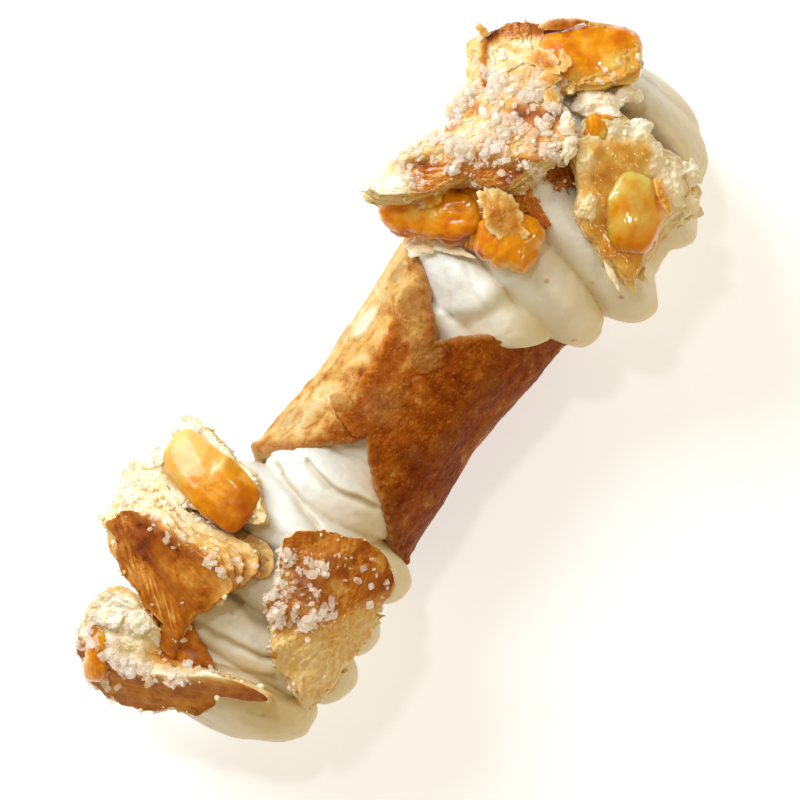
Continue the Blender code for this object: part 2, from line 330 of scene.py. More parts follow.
def shell_skin(x, angle):
    """Height of the outer skin above the plain tube, and its masks. The outer layer is a step with a lifted,
    crinkled lip. Each blister is a low dome with a raised rim, and wide soft waves and small cells cover
    the rest."""
    place = in_space(x, SHELL_RADIUS * np.sin(angle), SHELL_RADIUS * np.cos(angle))
    inside = seam_distance(x, angle)
    climb = smooth_step(FLAP_START, FLAP_START + FLAP_CLIMB, angle)
    over = smooth_step(-0.35, 0.1, inside) * climb
    crinkle = 0.75 + 0.55 * soft_noise(place, 1.3, 5) + 0.4 * soft_noise(place, 3.4, 6)
    proud = 0.35 + 0.65 * smooth_step(-6.5, -3.0, x) * smooth_step(11.0, 8.5, x)
    lip = bell(inside - 0.7, 0.85) * crinkle * climb * proud
    height = FLAP_STEP * over + 1.15 * lip
    # Painted shadow beside the lifted lip: a shallow dip whose skin is also coloured darker.
    shadow = bell(inside + 0.55, 0.45) * climb * proud
    height -= 0.45 * shadow
    height += 0.42 * soft_noise(place, 11.0, 8) + 0.2 * soft_noise(place, 5.0, 9)
    pale, crack_and_shadow, rim_highlight, bright = np.zeros((4,) + height.shape)
    wobble = 1 + 0.16 * soft_noise(place, 2.4, 11) + 0.10 * soft_noise(place, 1.0, 12)
    crack_width = np.maximum(0.05 + 0.05 * soft_noise(place, 1.7, 18), 0.03)
    for along, turn, half_x, half_turn, rise, light in BLISTERS:
        away = (angle - math.radians(turn) + math.pi) % TAU - math.pi
        ring = np.hypot((x - along) / half_x, away * SHELL_RADIUS / half_turn) * wobble
        height += rise * (1 - smooth_step(0.7, 1.05, ring)) + 0.7 * rise * bell(ring - 1, 0.1)
        inner_part = 1 - smooth_step(0.55, 1.05, ring)
        # How far a blister faces the window: it fades the pale skin and the painted rim highlight on the far
        # side.
        lit = 0.3 + 0.7 * smooth_step(-45, 5, turn)
        pale = np.maximum(pale, min(light, 1) * lit * inner_part)
        bright = np.maximum(bright, max(light - 1, 0) * inner_part)
        broken = smooth_step(-0.3, 0.25, soft_noise(place, 3.1, 17 + turn))
        outline = bell(ring - 1.08, crack_width)
        crack_and_shadow = np.maximum(crack_and_shadow, outline * broken * (0.9 if turn > -20 else 0.2))
        # Painted highlight: a pale line along the unbroken rims, strongest on blisters that face the window.
        raised = bell(ring - 0.95, 0.08) * (1 - broken) * lit**2
        rim_highlight = np.maximum(rim_highlight, raised * smooth_step(0.4, 0.7, light))
    near, _ = cell_distance(place + 0.6 * soft_noise(place, 3.0, 13)[..., None], 4.6, 14)
    small = smooth_step(0.1, 0.42, 0.55 - near) * smooth_step(0.05, 0.3, soft_noise(place, 9.0, 15))
    height += 0.3 * small
    grain = layered_noise(place, 1.5, 3, 16)
    height += 0.07 * grain
    masks = {
        "lip": np.clip(lip, 0, 1) * over,
        "pale": np.clip(pale + 0.25 * small, 0, 1),
        "crack_and_shadow": np.maximum(crack_and_shadow, shadow),
        "rim_highlight": rim_highlight,
        "bright": bright,
        # Lighter towards the window side: partly paler dough, partly painted light.
        "turn": smooth_step(-0.1, 0.85, np.sin(angle)),
    }
    return height, masks


def shell_surface():
    """The shell as one closed grid: turn round the tube, and a profile that runs along the outside, over one
    rounded rim, back along the inside and over the other rim."""
    angle = np.linspace(-math.pi, math.pi, SHELL_ROUND, endpoint=False)[None, :]
    half = shell_half_length(angle)
    flat = in_space(np.sin(angle) * 15, np.cos(angle) * 15, 0)
    ragged = 0.5 * soft_noise(flat, 5.0, 21) + 0.4 * soft_noise(flat, 1.6, 22)
    half = half + ragged + 0.2 * soft_noise(flat, 0.7, 20) - WALL / 2
    outer_share = np.linspace(-1, 1, SHELL_ALONG)[:, None]
    inner_share = np.linspace(1, -1, INNER_ROWS)[:, None]
    bend = np.linspace(0, math.pi, RIM_ROWS + 2)[1:-1, None]
    x = np.concatenate([
        outer_share * half,
        half + WALL / 2 * np.sin(bend),
        inner_share * half,
        -half - WALL / 2 * np.sin(bend),
    ])
    lift = np.concatenate([
        np.ones((SHELL_ALONG, 1)),
        0.5 + 0.5 * np.cos(bend),
        np.zeros((INNER_ROWS, 1)),
        0.5 - 0.5 * np.cos(bend),
    ])
    angle = np.broadcast_to(angle, x.shape)
    height, masks = shell_skin(x, angle)
    bore = in_space(x, np.sin(angle) * 12, np.cos(angle) * 12)
    inner = SHELL_RADIUS - WALL + 0.3 * soft_noise(bore, 4.0, 23)
    near_rim = np.exp(-(half - np.abs(x)) / 1.2)
    blobs = in_space(x, SHELL_RADIUS * np.sin(angle), SHELL_RADIUS * np.cos(angle))
    blobs = 0.5 * soft_noise(blobs, 1.7, 24) + 0.3 * soft_noise(blobs, 0.8, 25)
    height = height + blobs * np.exp(-(half - np.abs(x)) / 1.8)
    waist = 0.8 - 1.5 * bell(x + 2.0, 13.0)
    height = height + waist * np.sin(angle) ** 2
    radius = inner + (SHELL_RADIUS + height + 0.25 * near_rim - inner) * lift
    points = in_space(x, radius * np.sin(angle), AXIS_HEIGHT + radius * np.cos(angle))
    points[..., 2] = np.maximum(points[..., 2], 0.0)
    masks["edge"] = near_rim * smooth_step(0.2, 0.8, lift)
    masks["inside"] = np.broadcast_to(1 - lift, x.shape)
    return points, masks


# Fried wheat dough: matt to satin, golden tan where it puffed and deep orange brown where it lay in the fat,
# with a fine grain of tiny bubbles. The side towards the window is lighter, partly paler dough, partly
# painted light.
fried_dough, dough_shader = new_finish(
    "fried_wheat_dough", Roughness=0.5, Subsurface_Weight=0.08, Subsurface_Radius=(1.0, 0.45, 0.2),
    Subsurface_Scale=0.0008, Specular_IOR_Level=0.06)
dough_blotch = pattern(fried_dough, 8.0, 3.0, 1.3)
dough_mottle = pattern(fried_dough, 2.0, 8.0, 2.1)
dough_tone = math_of(fried_dough, "ADD", math_of(fried_dough, "MULTIPLY", dough_blotch, 0.6),
                     math_of(fried_dough, "MULTIPLY", dough_mottle, 0.55))
# Painted light, with some truly paler dough: the side towards the window is made lighter.
dough_tone = math_of(fried_dough, "ADD", dough_tone, mask_of(fried_dough, "turn", 0.30))
dough_tone = math_of(fried_dough, "SUBTRACT", dough_tone, 0.04)
dough_colour = colour_ramp(fried_dough, dough_tone, (
    (0.34, "#641F00"), (0.50, "#883C00"), (0.64, "#A4590F"), (0.80, "#DBAA5C"), (0.98, "#F6DAA2")))
# The lip's shadow in the crack colour is painted shade, and the crest colour is a painted highlight on
# blister rims.
for mask, share, colour in (
    ("pale", 0.85, "#9C7036"),
    ("bright", 1.0, "#F7E9C4"),
    ("crack_and_shadow", 0.6, "#7E4210"),
    ("rim_highlight", 0.55, "#DDB47A"),
    ("lip", 1.0, "#CC7622"),
    ("edge", 0.6, "#94500F"),
    ("inside", 1.0, "#DDB47A"),
):
    dough_colour = blend_colours(fried_dough, mask_of(fried_dough, mask, share), dough_colour, colour)
dough_speckle = colour_ramp(
    fried_dough, pattern(fried_dough, 0.55, 3.0, 2.9), ((0.58, "#000000"), (0.70, "#FFFFFF")))
dough_speckle = math_of(fried_dough, "MULTIPLY", dough_speckle, 0.2)
dough_colour = blend_colours(fried_dough, dough_speckle, dough_colour, "#E2B275")
feed(fried_dough, dough_shader, "Base Color", dough_colour)
dough_grain = add_relief(fried_dough, dough_shader, pattern(fried_dough, 1.0, 8.0, 3.7), 0.56)
add_relief(fried_dough, dough_shader, pattern(fried_dough, 0.45, 2.0, 4.1), 0.12, dough_grain)

shell_points, shell_masks = shell_surface()
new_piece(
    "fried_shell", shell_points, [grid_faces(*shell_points.shape[:2], closed_rows=True)],
    fried_dough, ("shell",), shell_masks)

# ---------------------------------------------------------------------------------------------------------
# The cream: sweet mascarpone piped through the tube, so that thick ropes of it fold over each other and
# swell out of both ends. It is smooth and soft, with a few brown specks stirred in.

CREAM_ROUND = 330
CREAM_ALONG = 280

# How sharply the ropes meet in the soft maximum, and a reach so low (mm) that it is left out of it.
ROPE_BLEND = 3.8
NO_REACH = -6

# Ropes at each end: centre and half sizes along X, Y and Z in mm, turn about Z in degrees, and whether a
# crease parts the rope from its neighbours.
UPPER_ROPES = (
    ((40.0, 0.0, 16.5), (21.0, 21.0, 15.5), 0, False),
    ((20.5, 1.5, 17.0), (8.2, 12.5, 14.8), -8, True),
    ((18.6, -5.4, 22.4), (6.4, 8.4, 8.6), -8, False),
    ((28.6, -2.0, 18.5), (8.2, 17.4, 17.5), -12, True),
    ((38.4, 0.5, 18.5), (8.6, 25.6, 19.5), -11, True),
    ((48.5, 0.5, 18.5), (8.8, 22.8, 20.0), -2, True),
    ((56.0, 1.0, 17.5), (8.3, 18.5, 17.0), 4, True),
    ((60.4, -1.0, 16.0), (5.6, 12.5, 12.5), 4, False),
)
LOWER_ROPES = (
    ((-40.0, 0.0, 14.5), (19.0, 17.0, 13.5), 0, False),
    ((-20.0, 0.5, 16.8), (8.5, 12.5, 15.0), 2, True),
    ((-28.0, 0.5, 17.0), (8.0, 19.0, 16.5), 6, True),
    ((-37.0, 0.5, 16.0), (8.5, 20.0, 17.0), 4, True),
    ((-45.5, -0.5, 15.3), (8.5, 20.5, 16.0), 3, True),
    ((-54.0, -2.5, 13.5), (8.5, 16.5, 14.0), 2, True),
    ((-57.8, -4.0, 12.0), (6.0, 11.0, 9.5), 8, False),
)

# Folds and ridges seen from above: points in mm, height (below zero for a crease), width and, on one side of
# it, how much the cream there overlaps the other.
UPPER_FOLDS = (
    (((19.4, 7.0), (16.9, 4.2), (14.0, 1.6)), -0.16, 0.5, 0.12),
    (((22.0, 4.6), (19.2, 1.6), (18.4, -1.6)), -0.14, 0.5, 0.10),
    (((29.0, -2.0), (26.6, -5.0), (24.4, -10.4)), -0.25, 1.2, 0.3),
    (((12.5, 5.0), (16.8, 0.2), (20.5, -0.8), (24.5, -1.4)), 1.05, 1.9, 0.0),
    (((56.6, 6.0), (60.6, -2.0), (59.4, -9.0), (55.6, -14.0)), 1.0, 3.0, 0.0),
    (((53.8, 2.0), (56.0, -3.8), (54.4, -9.5), (51.6, -13.0)), -2.6, 2.6, 0.0),
)
LOWER_FOLDS = (
    (((-18.1, 7.0), (-18.9, 3.0), (-18.6, -1.0), (-17.4, -5.6)), -0.9, 0.6, 0.9),
    (((-14.4, 4.6), (-13.0, 0.2), (-12.4, -4.6)), -0.4, 0.7, 0.35),
    (((-21.6, 10.5), (-23.8, 4.9), (-24.8, 1.4), (-26.2, -2.0)), -0.9, 0.8, 0.7),
    (((-26.4, -2.8), (-24.2, -7.2), (-21.0, -11.4)), -0.8, 0.6, 0.8),
    (((-41.5, 6.0), (-42.6, 1.0), (-42.8, -4.2)), -0.8, 0.7, 0.7),
    (((-49.4, 8.0), (-48.6, 1.5), (-47.7, -3.5), (-46.2, -7.6)), -0.9, 0.7, 0.9),
    (((-51.0, 6.0), (-53.6, 0.5), (-51.6, -4.6), (-49.0, -9.0)), -0.7, 0.8, 0.6),
    (((-51.6, -8.6), (-51.0, -13.0), (-48.6, -17.0)), -0.8, 0.7, 0.6),
)


def ray_to_rope(x, angle, rope):
    """How far from the tube's axis a ray meets a rope's ellipsoid: the larger root of the quadratic for the
    ray in the ellipsoid's own unit space, and no reach where it misses."""
    centre, half, turn, _ = rope
    turned = math.radians(turn)
    side = np.array([math.cos(turned), math.sin(turned)])
    start = np.stack([
        (x - centre[0]) * side[0] - centre[1] * side[1],
        -(x - centre[0]) * side[1] - centre[1] * side[0],
        np.full_like(x, AXIS_HEIGHT - centre[2]),
    ]) / np.array(half)[:, None, None]
    way = np.stack([np.sin(angle) * side[1], np.sin(angle) * side[0], np.cos(angle)])
    way = way / np.array(half)[:, None, None]
    square = (way * way).sum(axis=0)
    middle = (start * way).sum(axis=0)
    under = middle**2 - square * ((start * start).sum(axis=0) - 1)
    reach = (-middle + np.sqrt(np.maximum(under, 0))) / square
    return np.where(under > 0, reach, NO_REACH + 2 * np.minimum(under, 0))


def line_distance(x, y, route):
    """Distance from a line through points, seen from above, and which side of it a point is on."""
    best = np.full(x.shape, 1e9)
    side = np.zeros(x.shape)
    for (x0, y0), (x1, y1) in zip(route[:-1], route[1:]):
        run = np.array([x1 - x0, y1 - y0])
        share = np.clip(((x - x0) * run[0] + (y - y0) * run[1]) / (run @ run), 0, 1)
        away = np.hypot(x - x0 - share * run[0], y - y0 - share * run[1])
        nearer = away < best
        best = np.where(nearer, away, best)
        side = np.where(nearer, np.sign(run[0] * (y - y0) - run[1] * (x - x0)), side)
    return best, side


def fold_heights(x, y, folds):
    """Each crease is a narrow bell cut into the cream and each ridge one that stands on it, and the cream on
    the left of the line can be raised above the rest. Also gives where the creases lie."""
    total, crease = np.zeros((2,) + x.shape)
    flat = in_space(x, y, 0)
    x = x + 0.5 * soft_noise(flat, 4.0, 31)
    y = y + 0.5 * soft_noise(flat, 4.0, 32)
    for route, height, width, overlap in folds:
        away, side = line_distance(x, y, route)
        total += height * bell(away, width)
        total += overlap * np.where(side > 0, np.exp(-away / 2.6) * smooth_step(0, width, away), 0)
        if height < 0:
            crease = np.maximum(crease, min(-height, 1) * bell(away, width))
    return total, crease


def cream_heap(ends, ropes, folds, seed):
    """A heap as a closed grid of distance along the tube by turn round it. The distance out is a soft maximum
    of the ropes, log(sum(exp(k r))) / k, plus folds, soft waves that run along the ropes, and fine noise."""
    share = np.linspace(0, 1, CREAM_ALONG)
    start, stop = ends
    along = start + (stop - start) * (0.5 - 0.5 * np.cos(math.pi * share ** 0.9))[:, None]
    angle = np.linspace(-math.pi, math.pi, CREAM_ROUND, endpoint=False)[None, :]
    x, angle = np.broadcast_arrays(along, angle)
    reaches = [ray_to_rope(x, angle, rope) for rope in ropes]
    parted = np.sort(np.stack([reach for reach, rope in zip(reaches, ropes) if rope[3]]), axis=0)
    core = SHELL_RADIUS - WALL - 0.1
    over_rim = 2.0 * bell(angle + 0.46, 0.36) * (stop > 0)
    in_shell = smooth_step(0.0, 3.0, shell_half_length(angle) - np.abs(x) - over_rim)
    reaches.append(np.where(np.abs(x) < BACK_HALF, core - 0.5, NO_REACH))
    radius = np.log(sum(np.exp(ROPE_BLEND * reach) for reach in reaches)) / ROPE_BLEND
    radius = np.maximum(radius, 0)
    rough = in_space(x, radius * np.sin(angle), radius * np.cos(angle))
    top = smooth_step(-2.0, 5.0, rough[..., 2])
    tip = smooth_step(0, 6.0, radius)
    folded, crease = fold_heights(rough[..., 0], rough[..., 1], folds)
    radius = radius + top * tip * folded
    valley = np.exp(-(parted[-1] - parted[-2]) / 0.9)
    valley = valley * smooth_step(-2.0, -0.5, parted[-1] - np.maximum.reduce(reaches))
    waves = soft_noise(rough * (1, 0.28, 0.28), 3.6, seed)
    radius = radius - 0.5 * valley * tip * smooth_step(8.0, 14.0, np.abs(x))
    radius = radius + tip * (0.55 * waves + 0.5 * soft_noise(rough, 9.0, seed + 1))
    radius = radius + tip * 0.10 * layered_noise(rough, 1.6, 2, seed + 2)
    held = np.minimum(radius, core + (radius - core) * (1 - in_shell))
    radius = np.where(in_shell > 0, held, radius)
    points = in_space(x, radius * np.sin(angle), AXIS_HEIGHT + radius * np.cos(angle))
    points[..., 2] = np.maximum(points[..., 2], 0.0)
    points[0] = (start, 0, AXIS_HEIGHT)
    points[-1] = points[-2].mean(axis=0)
    # Painted shade for the colour: yellow-tan on the cream low on the near side and a little towards the far
    # end, and darker in the creases and the valleys between ropes.
    front_shade = smooth_step(7.0, -12.0, points[..., 1]) * smooth_step(42.0, 20.0, points[..., 2])
    masks = {
        "crease": np.maximum(top * crease, valley * tip),
        "low": np.maximum(front_shade, 0.25 * smooth_step(48.0, 64.0, points[..., 0])),
    }
    return points, masks


# Whipped mascarpone: light comes through it, so its shade is warm. The yellow-tan tint low on the near side
# and the darker tint in its creases are painted shade. The surface is smooth with a soft shine.
piped_cream, cream_shader = new_finish(
    "whipped_mascarpone", Roughness=0.38, Subsurface_Weight=0.35, Subsurface_Radius=(2.6, 2.2, 1.1),
    Subsurface_Scale=0.0004, Specular_IOR_Level=0.4)
cream_tone = pattern(piped_cream, 14.0, 2.0, 5.3)
cream_colour = colour_ramp(piped_cream, cream_tone, ((0.3, "#E9E9E0"), (0.7, "#EEF1EC")))
# Painted shade: yellow-tan low on the near side, and darker in the creases.
cream_colour = blend_colours(piped_cream, mask_of(piped_cream, "low", 0.72), cream_colour, "#E2C672")
cream_colour = blend_colours(piped_cream, mask_of(piped_cream, "crease", 0.5), cream_colour, "#B4923E")
speck_place = pattern(piped_cream, 7.5, seed=6.1, kind="TexVoronoi")
speck = colour_ramp(piped_cream, speck_place, ((0.03, "#FFFFFF"), (0.09, "#000000")))
speck = math_of(piped_cream, "MULTIPLY", speck, 0.75)
cream_colour = blend_colours(piped_cream, speck, cream_colour, "#C08A48")
feed(piped_cream, cream_shader, "Base Color", cream_colour)
add_relief(piped_cream, cream_shader, pattern(piped_cream, 1.1, 3.0, 7.9), 0.10)

for cream_name, cream_ends, ropes, folds, seed, nodes in (
    ("cream_upper", (2.0, 67.2), UPPER_ROPES, UPPER_FOLDS, 41, ("cream",)),
    ("cream_lower", (-2.0, -64.2), LOWER_ROPES, LOWER_FOLDS, 51, ()),
):
    cream_points, cream_masks = cream_heap(cream_ends, ropes, folds, seed)
    cream_quads = grid_faces(*cream_points.shape[:2])
    if cream_ends[1] < 0:
        cream_quads = cream_quads[:, ::-1]
    new_piece(cream_name, cream_points, [cream_quads], piped_cream, nodes, cream_masks)

# ---------------------------------------------------------------------------------------------------------
# The strudel pieces: puff pastry torn by hand. Each has a browned, blistered top sheet, and paler flaky
# sheets under it that show as ragged ledges round its edge. They sit pressed into the cream.

# Points of a piece's grid: round it, and rows on its top sheet, on each ledge and on its underside.
PIECE_ROUND = 320
TOP_ROWS = 56
LEDGE_ROWS = 5
UNDER_ROWS = 14

# What a row of that grid lies on: the top sheet, the ledge of a sheet beneath, a torn edge, the gap under an
# edge, or the underside.
TOP_SHEET, LEDGE, TORN_EDGE, GAP, UNDERSIDE = range(5)

# How far the tube is turned to the view from above.
VIEW_TURN = math.radians(54)


def as_seen(x, y):
    """Millimetres to the right and downwards in the view from above, for placing marks on a piece."""
    right = x * math.cos(VIEW_TURN) - y * math.sin(VIEW_TURN)
    down = -x * math.sin(VIEW_TURN) - y * math.cos(VIEW_TURN)
    return right, down


def closed_curve(values, turn):
    """A value at each turn, on a closed Catmull-Rom curve through equally spaced values."""
    values = np.asarray(values, float)
    place = np.mod(turn, TAU) / TAU * len(values)
    first = np.floor(place).astype(int)
    share = place - first
    before, here, after, beyond = (values[(first + k) % len(values)] for k in (-1, 0, 1, 2))
    bend = 2 * before - 5 * here + 4 * after - beyond
    swing = 3 * here - before - 3 * after + beyond
    return here + share / 2 * (after - before + share * (bend + share * swing))


def with_tips(turn, tips):
    """Extra reach from narrow torn tips, each a bell round its own angle."""
    total = np.zeros_like(turn)
    for angle, reach, width in tips:
        away = (np.degrees(turn) - angle + 180) % 360 - 180
        total += reach * bell(away, width)
    return total


def tilted(x, y, slope):
    """Height of a plane with slopes in degrees about X and Y."""
    return math.tan(math.radians(-slope[1])) * x + math.tan(math.radians(slope[0])) * y


def streaks(x, y, grain, length, width, seed):
    """Noise drawn out along one direction, like dough pulled while it was rolled."""
    turn = math.radians(grain)
    along = x * math.cos(turn) + y * math.sin(turn)
    across = -x * math.sin(turn) + y * math.cos(turn)
    return layered_noise(in_space(along / length, across / width, 0.37 * seed), 1.0, 3, seed)


def torn_sheets(x, y, grain, size, seed, sheets=4):
    """Thin sheets that each cover a part of the piece and end in a ragged, slightly lifted edge: a sheet lies
    where noise drawn out along the grain is above its own level. Gives the height in sheets, how near an
    edge is, and what share of the sheets lies there."""
    turn = math.radians(grain)
    along = x * math.cos(turn) + y * math.sin(turn)
    across = -x * math.sin(turn) + y * math.cos(turn)
    height, edge, cover = np.zeros_like(x), np.zeros_like(x), np.zeros_like(x)
    for k in range(sheets):
        wide = soft_noise(in_space(along / 2.2, across, 1.9 * k * size), size, seed + k)
        rips = layered_noise(in_space(along / 1.4, across, 2.3 * k), size / 3, 3, seed + 30 + k)
        inside = wide + 0.3 * rips + 0.3 - 0.17 * k
        lies = smooth_step(-0.02, 0.05, inside)
        height += lies * (1 + 0.9 * np.exp(-np.maximum(inside, 0) / 0.09))
        edge = np.maximum(edge, bell(inside - 0.04, 0.06))
        cover += lies / sheets
    return height, edge, cover


def near_line(right, down, route, width):
    """1 on a line through points as seen, falling off as a bell."""
    away, _ = line_distance(right, down, route)
    return bell(away, width)


def spot(right, down, place, size):
    """1 at a place as seen, falling off as a bell with its own width each way."""
    return np.exp(-((right - place[0]) / size[0]) ** 2 - ((down - place[1]) / size[1]) ** 2)


def above_line(right, down, route, blur):
    """0 on one side of a line that runs to the right, 1 on the side further down, with a soft change."""
    route = np.array(route)
    return smooth_step(-blur, blur, down - np.interp(right, route[:, 0], route[:, 1]))


def torn_pastry(centre, outline, rim, slope, dome, depth, layers, seed, look, tips, tear):
    """A torn piece as one closed polar grid. Rows run from the middle of the top sheet to its torn rim, then
    round the edge of each sheet beneath and in under it, and at last across the underside. Each sheet's
    edge lies between the rim and the outline, with its own tears. Heights follow the slope, a dome and the
    piece's own look, which also gives the masks."""
    turn = np.linspace(0, TAU, PIECE_ROUND, endpoint=False)
    way_x, way_y = np.cos(turn), np.sin(turn)
    edge = closed_curve(outline, turn) + with_tips(turn, tips)
    top_edge = np.minimum(closed_curve(rim, turn) + with_tips(turn, tips), edge - 0.2)

    def torn(k):
        """How far the tears of one sheet push its edge out or in."""
        flat = in_space(edge * way_x, edge * way_y, 0.5 * k + seed)
        rips = 0.9 * soft_noise(flat, 3.2, seed) + 0.35 * soft_noise(flat + (0, 0, 1.1 * k), 1.3, seed + 1)
        rips = rips + 0.18 * soft_noise(flat + (0, 0, 2.6 * k), 0.55, seed + 2)
        return tear * rips * (1 if k == 0 else 0.65)

    def step(k):
        """Where a sheet's edge lies from the rim to the outline: 0 for the first, 1 for the last."""
        wander = 0.42 * math.sin(2.3 * k + seed) if 0 < k < layers - 1 else 0
        return (k + wander) / (layers - 1)

    reaches = []
    levels = []
    kinds = []

    def add_row(reach, level, kind):
        reaches.append(np.broadcast_to(reach, turn.shape))
        levels.append(np.broadcast_to(level, turn.shape))
        kinds.append(kind)

    sheet = depth / layers
    edges = [top_edge + (edge - top_edge) * step(k)**0.9 + torn(k) for k in range(layers)]
    for share in np.linspace(0, 1, TOP_ROWS)[:-1]:
        add_row(share**0.85 * (edges[0] - 0.16), 0.0, TOP_SHEET)
    flat_edge = in_space(edge * way_x, edge * way_y, seed)
    for k in range(layers):
        level = -sheet * k
        curl = 0.28 * sheet * soft_noise(flat_edge + (0, 0, 2.7 * k), 2.6, seed + 4)
        curl = curl + 0.7 * min(k, 3) / 3 * sheet * soft_noise(flat_edge, 8.0, seed + 11)
        thick = sheet * (0.5 + 0.12 * soft_noise(flat_edge + (0, 0, 5.3 * k), 3.0, seed + 5))
        out = edges[k]
        add_row(out - 0.14, level + curl, TOP_SHEET if k == 0 else LEDGE)
        add_row(out, level + curl - 0.35 * thick, TORN_EDGE)
        add_row(out - 0.05, level + curl - 0.75 * thick, TORN_EDGE)
        add_row(out - 0.22, level + curl - thick, GAP)
        after = edges[min(k + 1, layers - 1)]
        hollow = 0.55 + 0.55 * soft_noise(flat_edge + (0, 0, 1.9 * k), 2.2, seed + 6)
        recess = np.minimum(out, after) - np.clip(hollow, 0.2, 1.5)
        add_row(recess, level - 0.8 * sheet, GAP)
        if k < layers - 1:
            for share in np.linspace(0.0, 1.0, LEDGE_ROWS + 1)[:-1]:
                ledge = level - sheet * (0.97 + 0.03 * share)
                add_row(recess + (after - 0.3 - recess) * share, ledge, LEDGE)
    for share in np.linspace(1, 0, UNDER_ROWS)[1:]:
        add_row(recess * share, -depth - 0.25 * depth * (1 - share**2), UNDERSIDE)

    reach = np.stack(reaches)
    level = np.stack(levels)
    kind = np.broadcast_to(np.array(kinds)[:, None], reach.shape)
    x, y = reach * way_x, reach * way_y
    right, down = as_seen(x, y)
    marks = look(x, y, right, down)

    # Torn edges and gaps take the relief of the last row before them that lies on a sheet, so that a sheet
    # keeps its thickness at its edge.
    relief = marks["height"] + 0.25 * soft_noise(in_space(x, y, seed), 4.5, seed + 8)
    rows = np.arange(len(kind))[:, None]
    sheet_row = np.maximum.accumulate(np.where(kind <= LEDGE, rows, 0), axis=0)
    steady = np.take_along_axis(relief, sheet_row, axis=0)
    surface = tilted(x, y, slope) + dome * (1 - np.minimum(reach / np.maximum(edge, 0.1), 1) ** 2)
    z = surface + level + np.where(kind == UNDERSIDE, 0.3 * relief, steady)
    points = in_space(x, y, z) + np.array(centre, float)
    close_poles(points)

    from_rim = np.abs(reach - edges[0])
    fine = 0.5 + 0.5 * layered_noise(in_space(x, y, 2.0 * level + seed), 1.4, 2, seed + 9)
    inner = marks["inner"] + 0.22 * fine
    bake = np.select(
        [kind == TOP_SHEET, kind == LEDGE, kind == TORN_EDGE, kind == GAP],
        [marks["bake"], inner, inner + 0.14, inner + 0.05], 0.45)
    rim_brown = np.exp(-from_rim / 0.5) * (kind == TOP_SHEET) * marks["rim"]
    sugar = marks.get("sugar", 0)
    masks = {
        "bake": np.clip(bake + rim_brown, 0, 1),
        "flaky": np.where(kind == TOP_SHEET, marks.get("flaky", 0), 1.0),
        "glaze": marks.get("glaze", 0) * np.where(kind == TOP_SHEET, 1, 0.7),
        "dust": 0.28 * np.minimum(1.3 * sugar, 1) * np.where(kind == TOP_SHEET, 1, 0.5),
    }
    sugar = sugar * np.select([kind == TOP_SHEET, kind == LEDGE], [1.0, 0.7], 0.0)
    at_rim = np.select([kind == TOP_SHEET, kind <= TORN_EDGE], [np.exp(-from_rim / 0.8), 1.0], 0.0)
    return points, masks, sugar, at_rim


def grid_normals(points):
    """Outward direction and area of the surface at each point of a closed polar grid."""
    along = np.gradient(points, axis=0)
    round_it = (np.roll(points, -1, axis=1) - np.roll(points, 1, axis=1)) / 2
    out = np.cross(along, round_it)
    area = np.linalg.norm(out, axis=-1)
    out = out / np.maximum(area, 1e-9)[..., None]
    return out, area


# Baked puff pastry: pale cream crumb, golden sheets and a brown egg-washed crust, drier and rougher where it
# flakes, wet and shiny where the fruit's syrup soaked in.
puff_pastry, pastry_shader = new_finish(
    "baked_puff_pastry", Subsurface_Weight=0.2, Subsurface_Radius=(2.2, 1.1, 0.45),
    Subsurface_Scale=0.0005, Specular_IOR_Level=0.15, Coat_Roughness=0.13)
pastry_mottle = pattern(puff_pastry, 1.5, 4.0, 11.3)
pastry_cloud = pattern(puff_pastry, 5.0, 2.0, 12.1)
pastry_depth = math_of(puff_pastry, "SUBTRACT", 0.35, mask_of(puff_pastry, "glaze", 0.27))
pastry_bake = math_of(
    puff_pastry, "ADD", mask_of(puff_pastry, "bake"), about_zero(puff_pastry, pastry_mottle, pastry_depth))
pastry_bake = math_of(puff_pastry, "ADD", pastry_bake, about_zero(puff_pastry, pastry_cloud, 0.2))
PASTRY_BROWNING = (
    (0.0, "#FFF8E8"), (0.18, "#F8E8BE"), (0.34, "#E9C47A"), (0.5, "#D4943E"), (0.66, "#B66A16"),
    (0.82, "#944606"), (1.0, "#5E2602"))
pastry_colour = colour_ramp(puff_pastry, pastry_bake, PASTRY_BROWNING)
pastry_colour = blend_colours(
    puff_pastry, mask_of(puff_pastry, "glaze", 0.85), pastry_colour, "#F4CE58", "MULTIPLY")
pastry_dust = colour_ramp(
    puff_pastry, pattern(puff_pastry, 0.9, 3.0, 17.7), ((0.3, "#888888"), (0.6, "#FFFFFF")))
pastry_dust = math_of(puff_pastry, "MULTIPLY", mask_of(puff_pastry, "dust"), pastry_dust)
pastry_colour = blend_colours(puff_pastry, pastry_dust, pastry_colour, "#E8C8A0")
feed(puff_pastry, pastry_shader, "Base Color", pastry_colour)
pastry_rough = math_of(puff_pastry, "SUBTRACT", 0.62, mask_of(puff_pastry, "glaze", 0.45))
pastry_rough = math_of(puff_pastry, "SUBTRACT", pastry_rough, mask_of(puff_pastry, "bake", 0.16))
feed(puff_pastry, pastry_shader, "Roughness", pastry_rough)
feed(puff_pastry, pastry_shader, "Coat Weight", mask_of(puff_pastry, "glaze", 0.9))
pastry_crumb = math_of(puff_pastry, "ADD", mask_of(puff_pastry, "flaky", 0.8), 0.2)
pastry_crumb = math_of(puff_pastry, "MULTIPLY", pattern(puff_pastry, 0.9, 5.0, 13.7), pastry_crumb)
pastry_relief = add_relief(puff_pastry, pastry_shader, pastry_crumb, 0.34)
add_relief(puff_pastry, pastry_shader, pattern(puff_pastry, 0.3, 2.0, 14.9), 0.06, pastry_relief)
pastry_film = add_node(
    puff_pastry, "Bump", {"Distance": 0.3 * MM}, {"Height": pattern(puff_pastry, 1.8, 1.0, 16.3)})
feed(puff_pastry, pastry_shader, "Coat Normal", pastry_film.outputs[0])


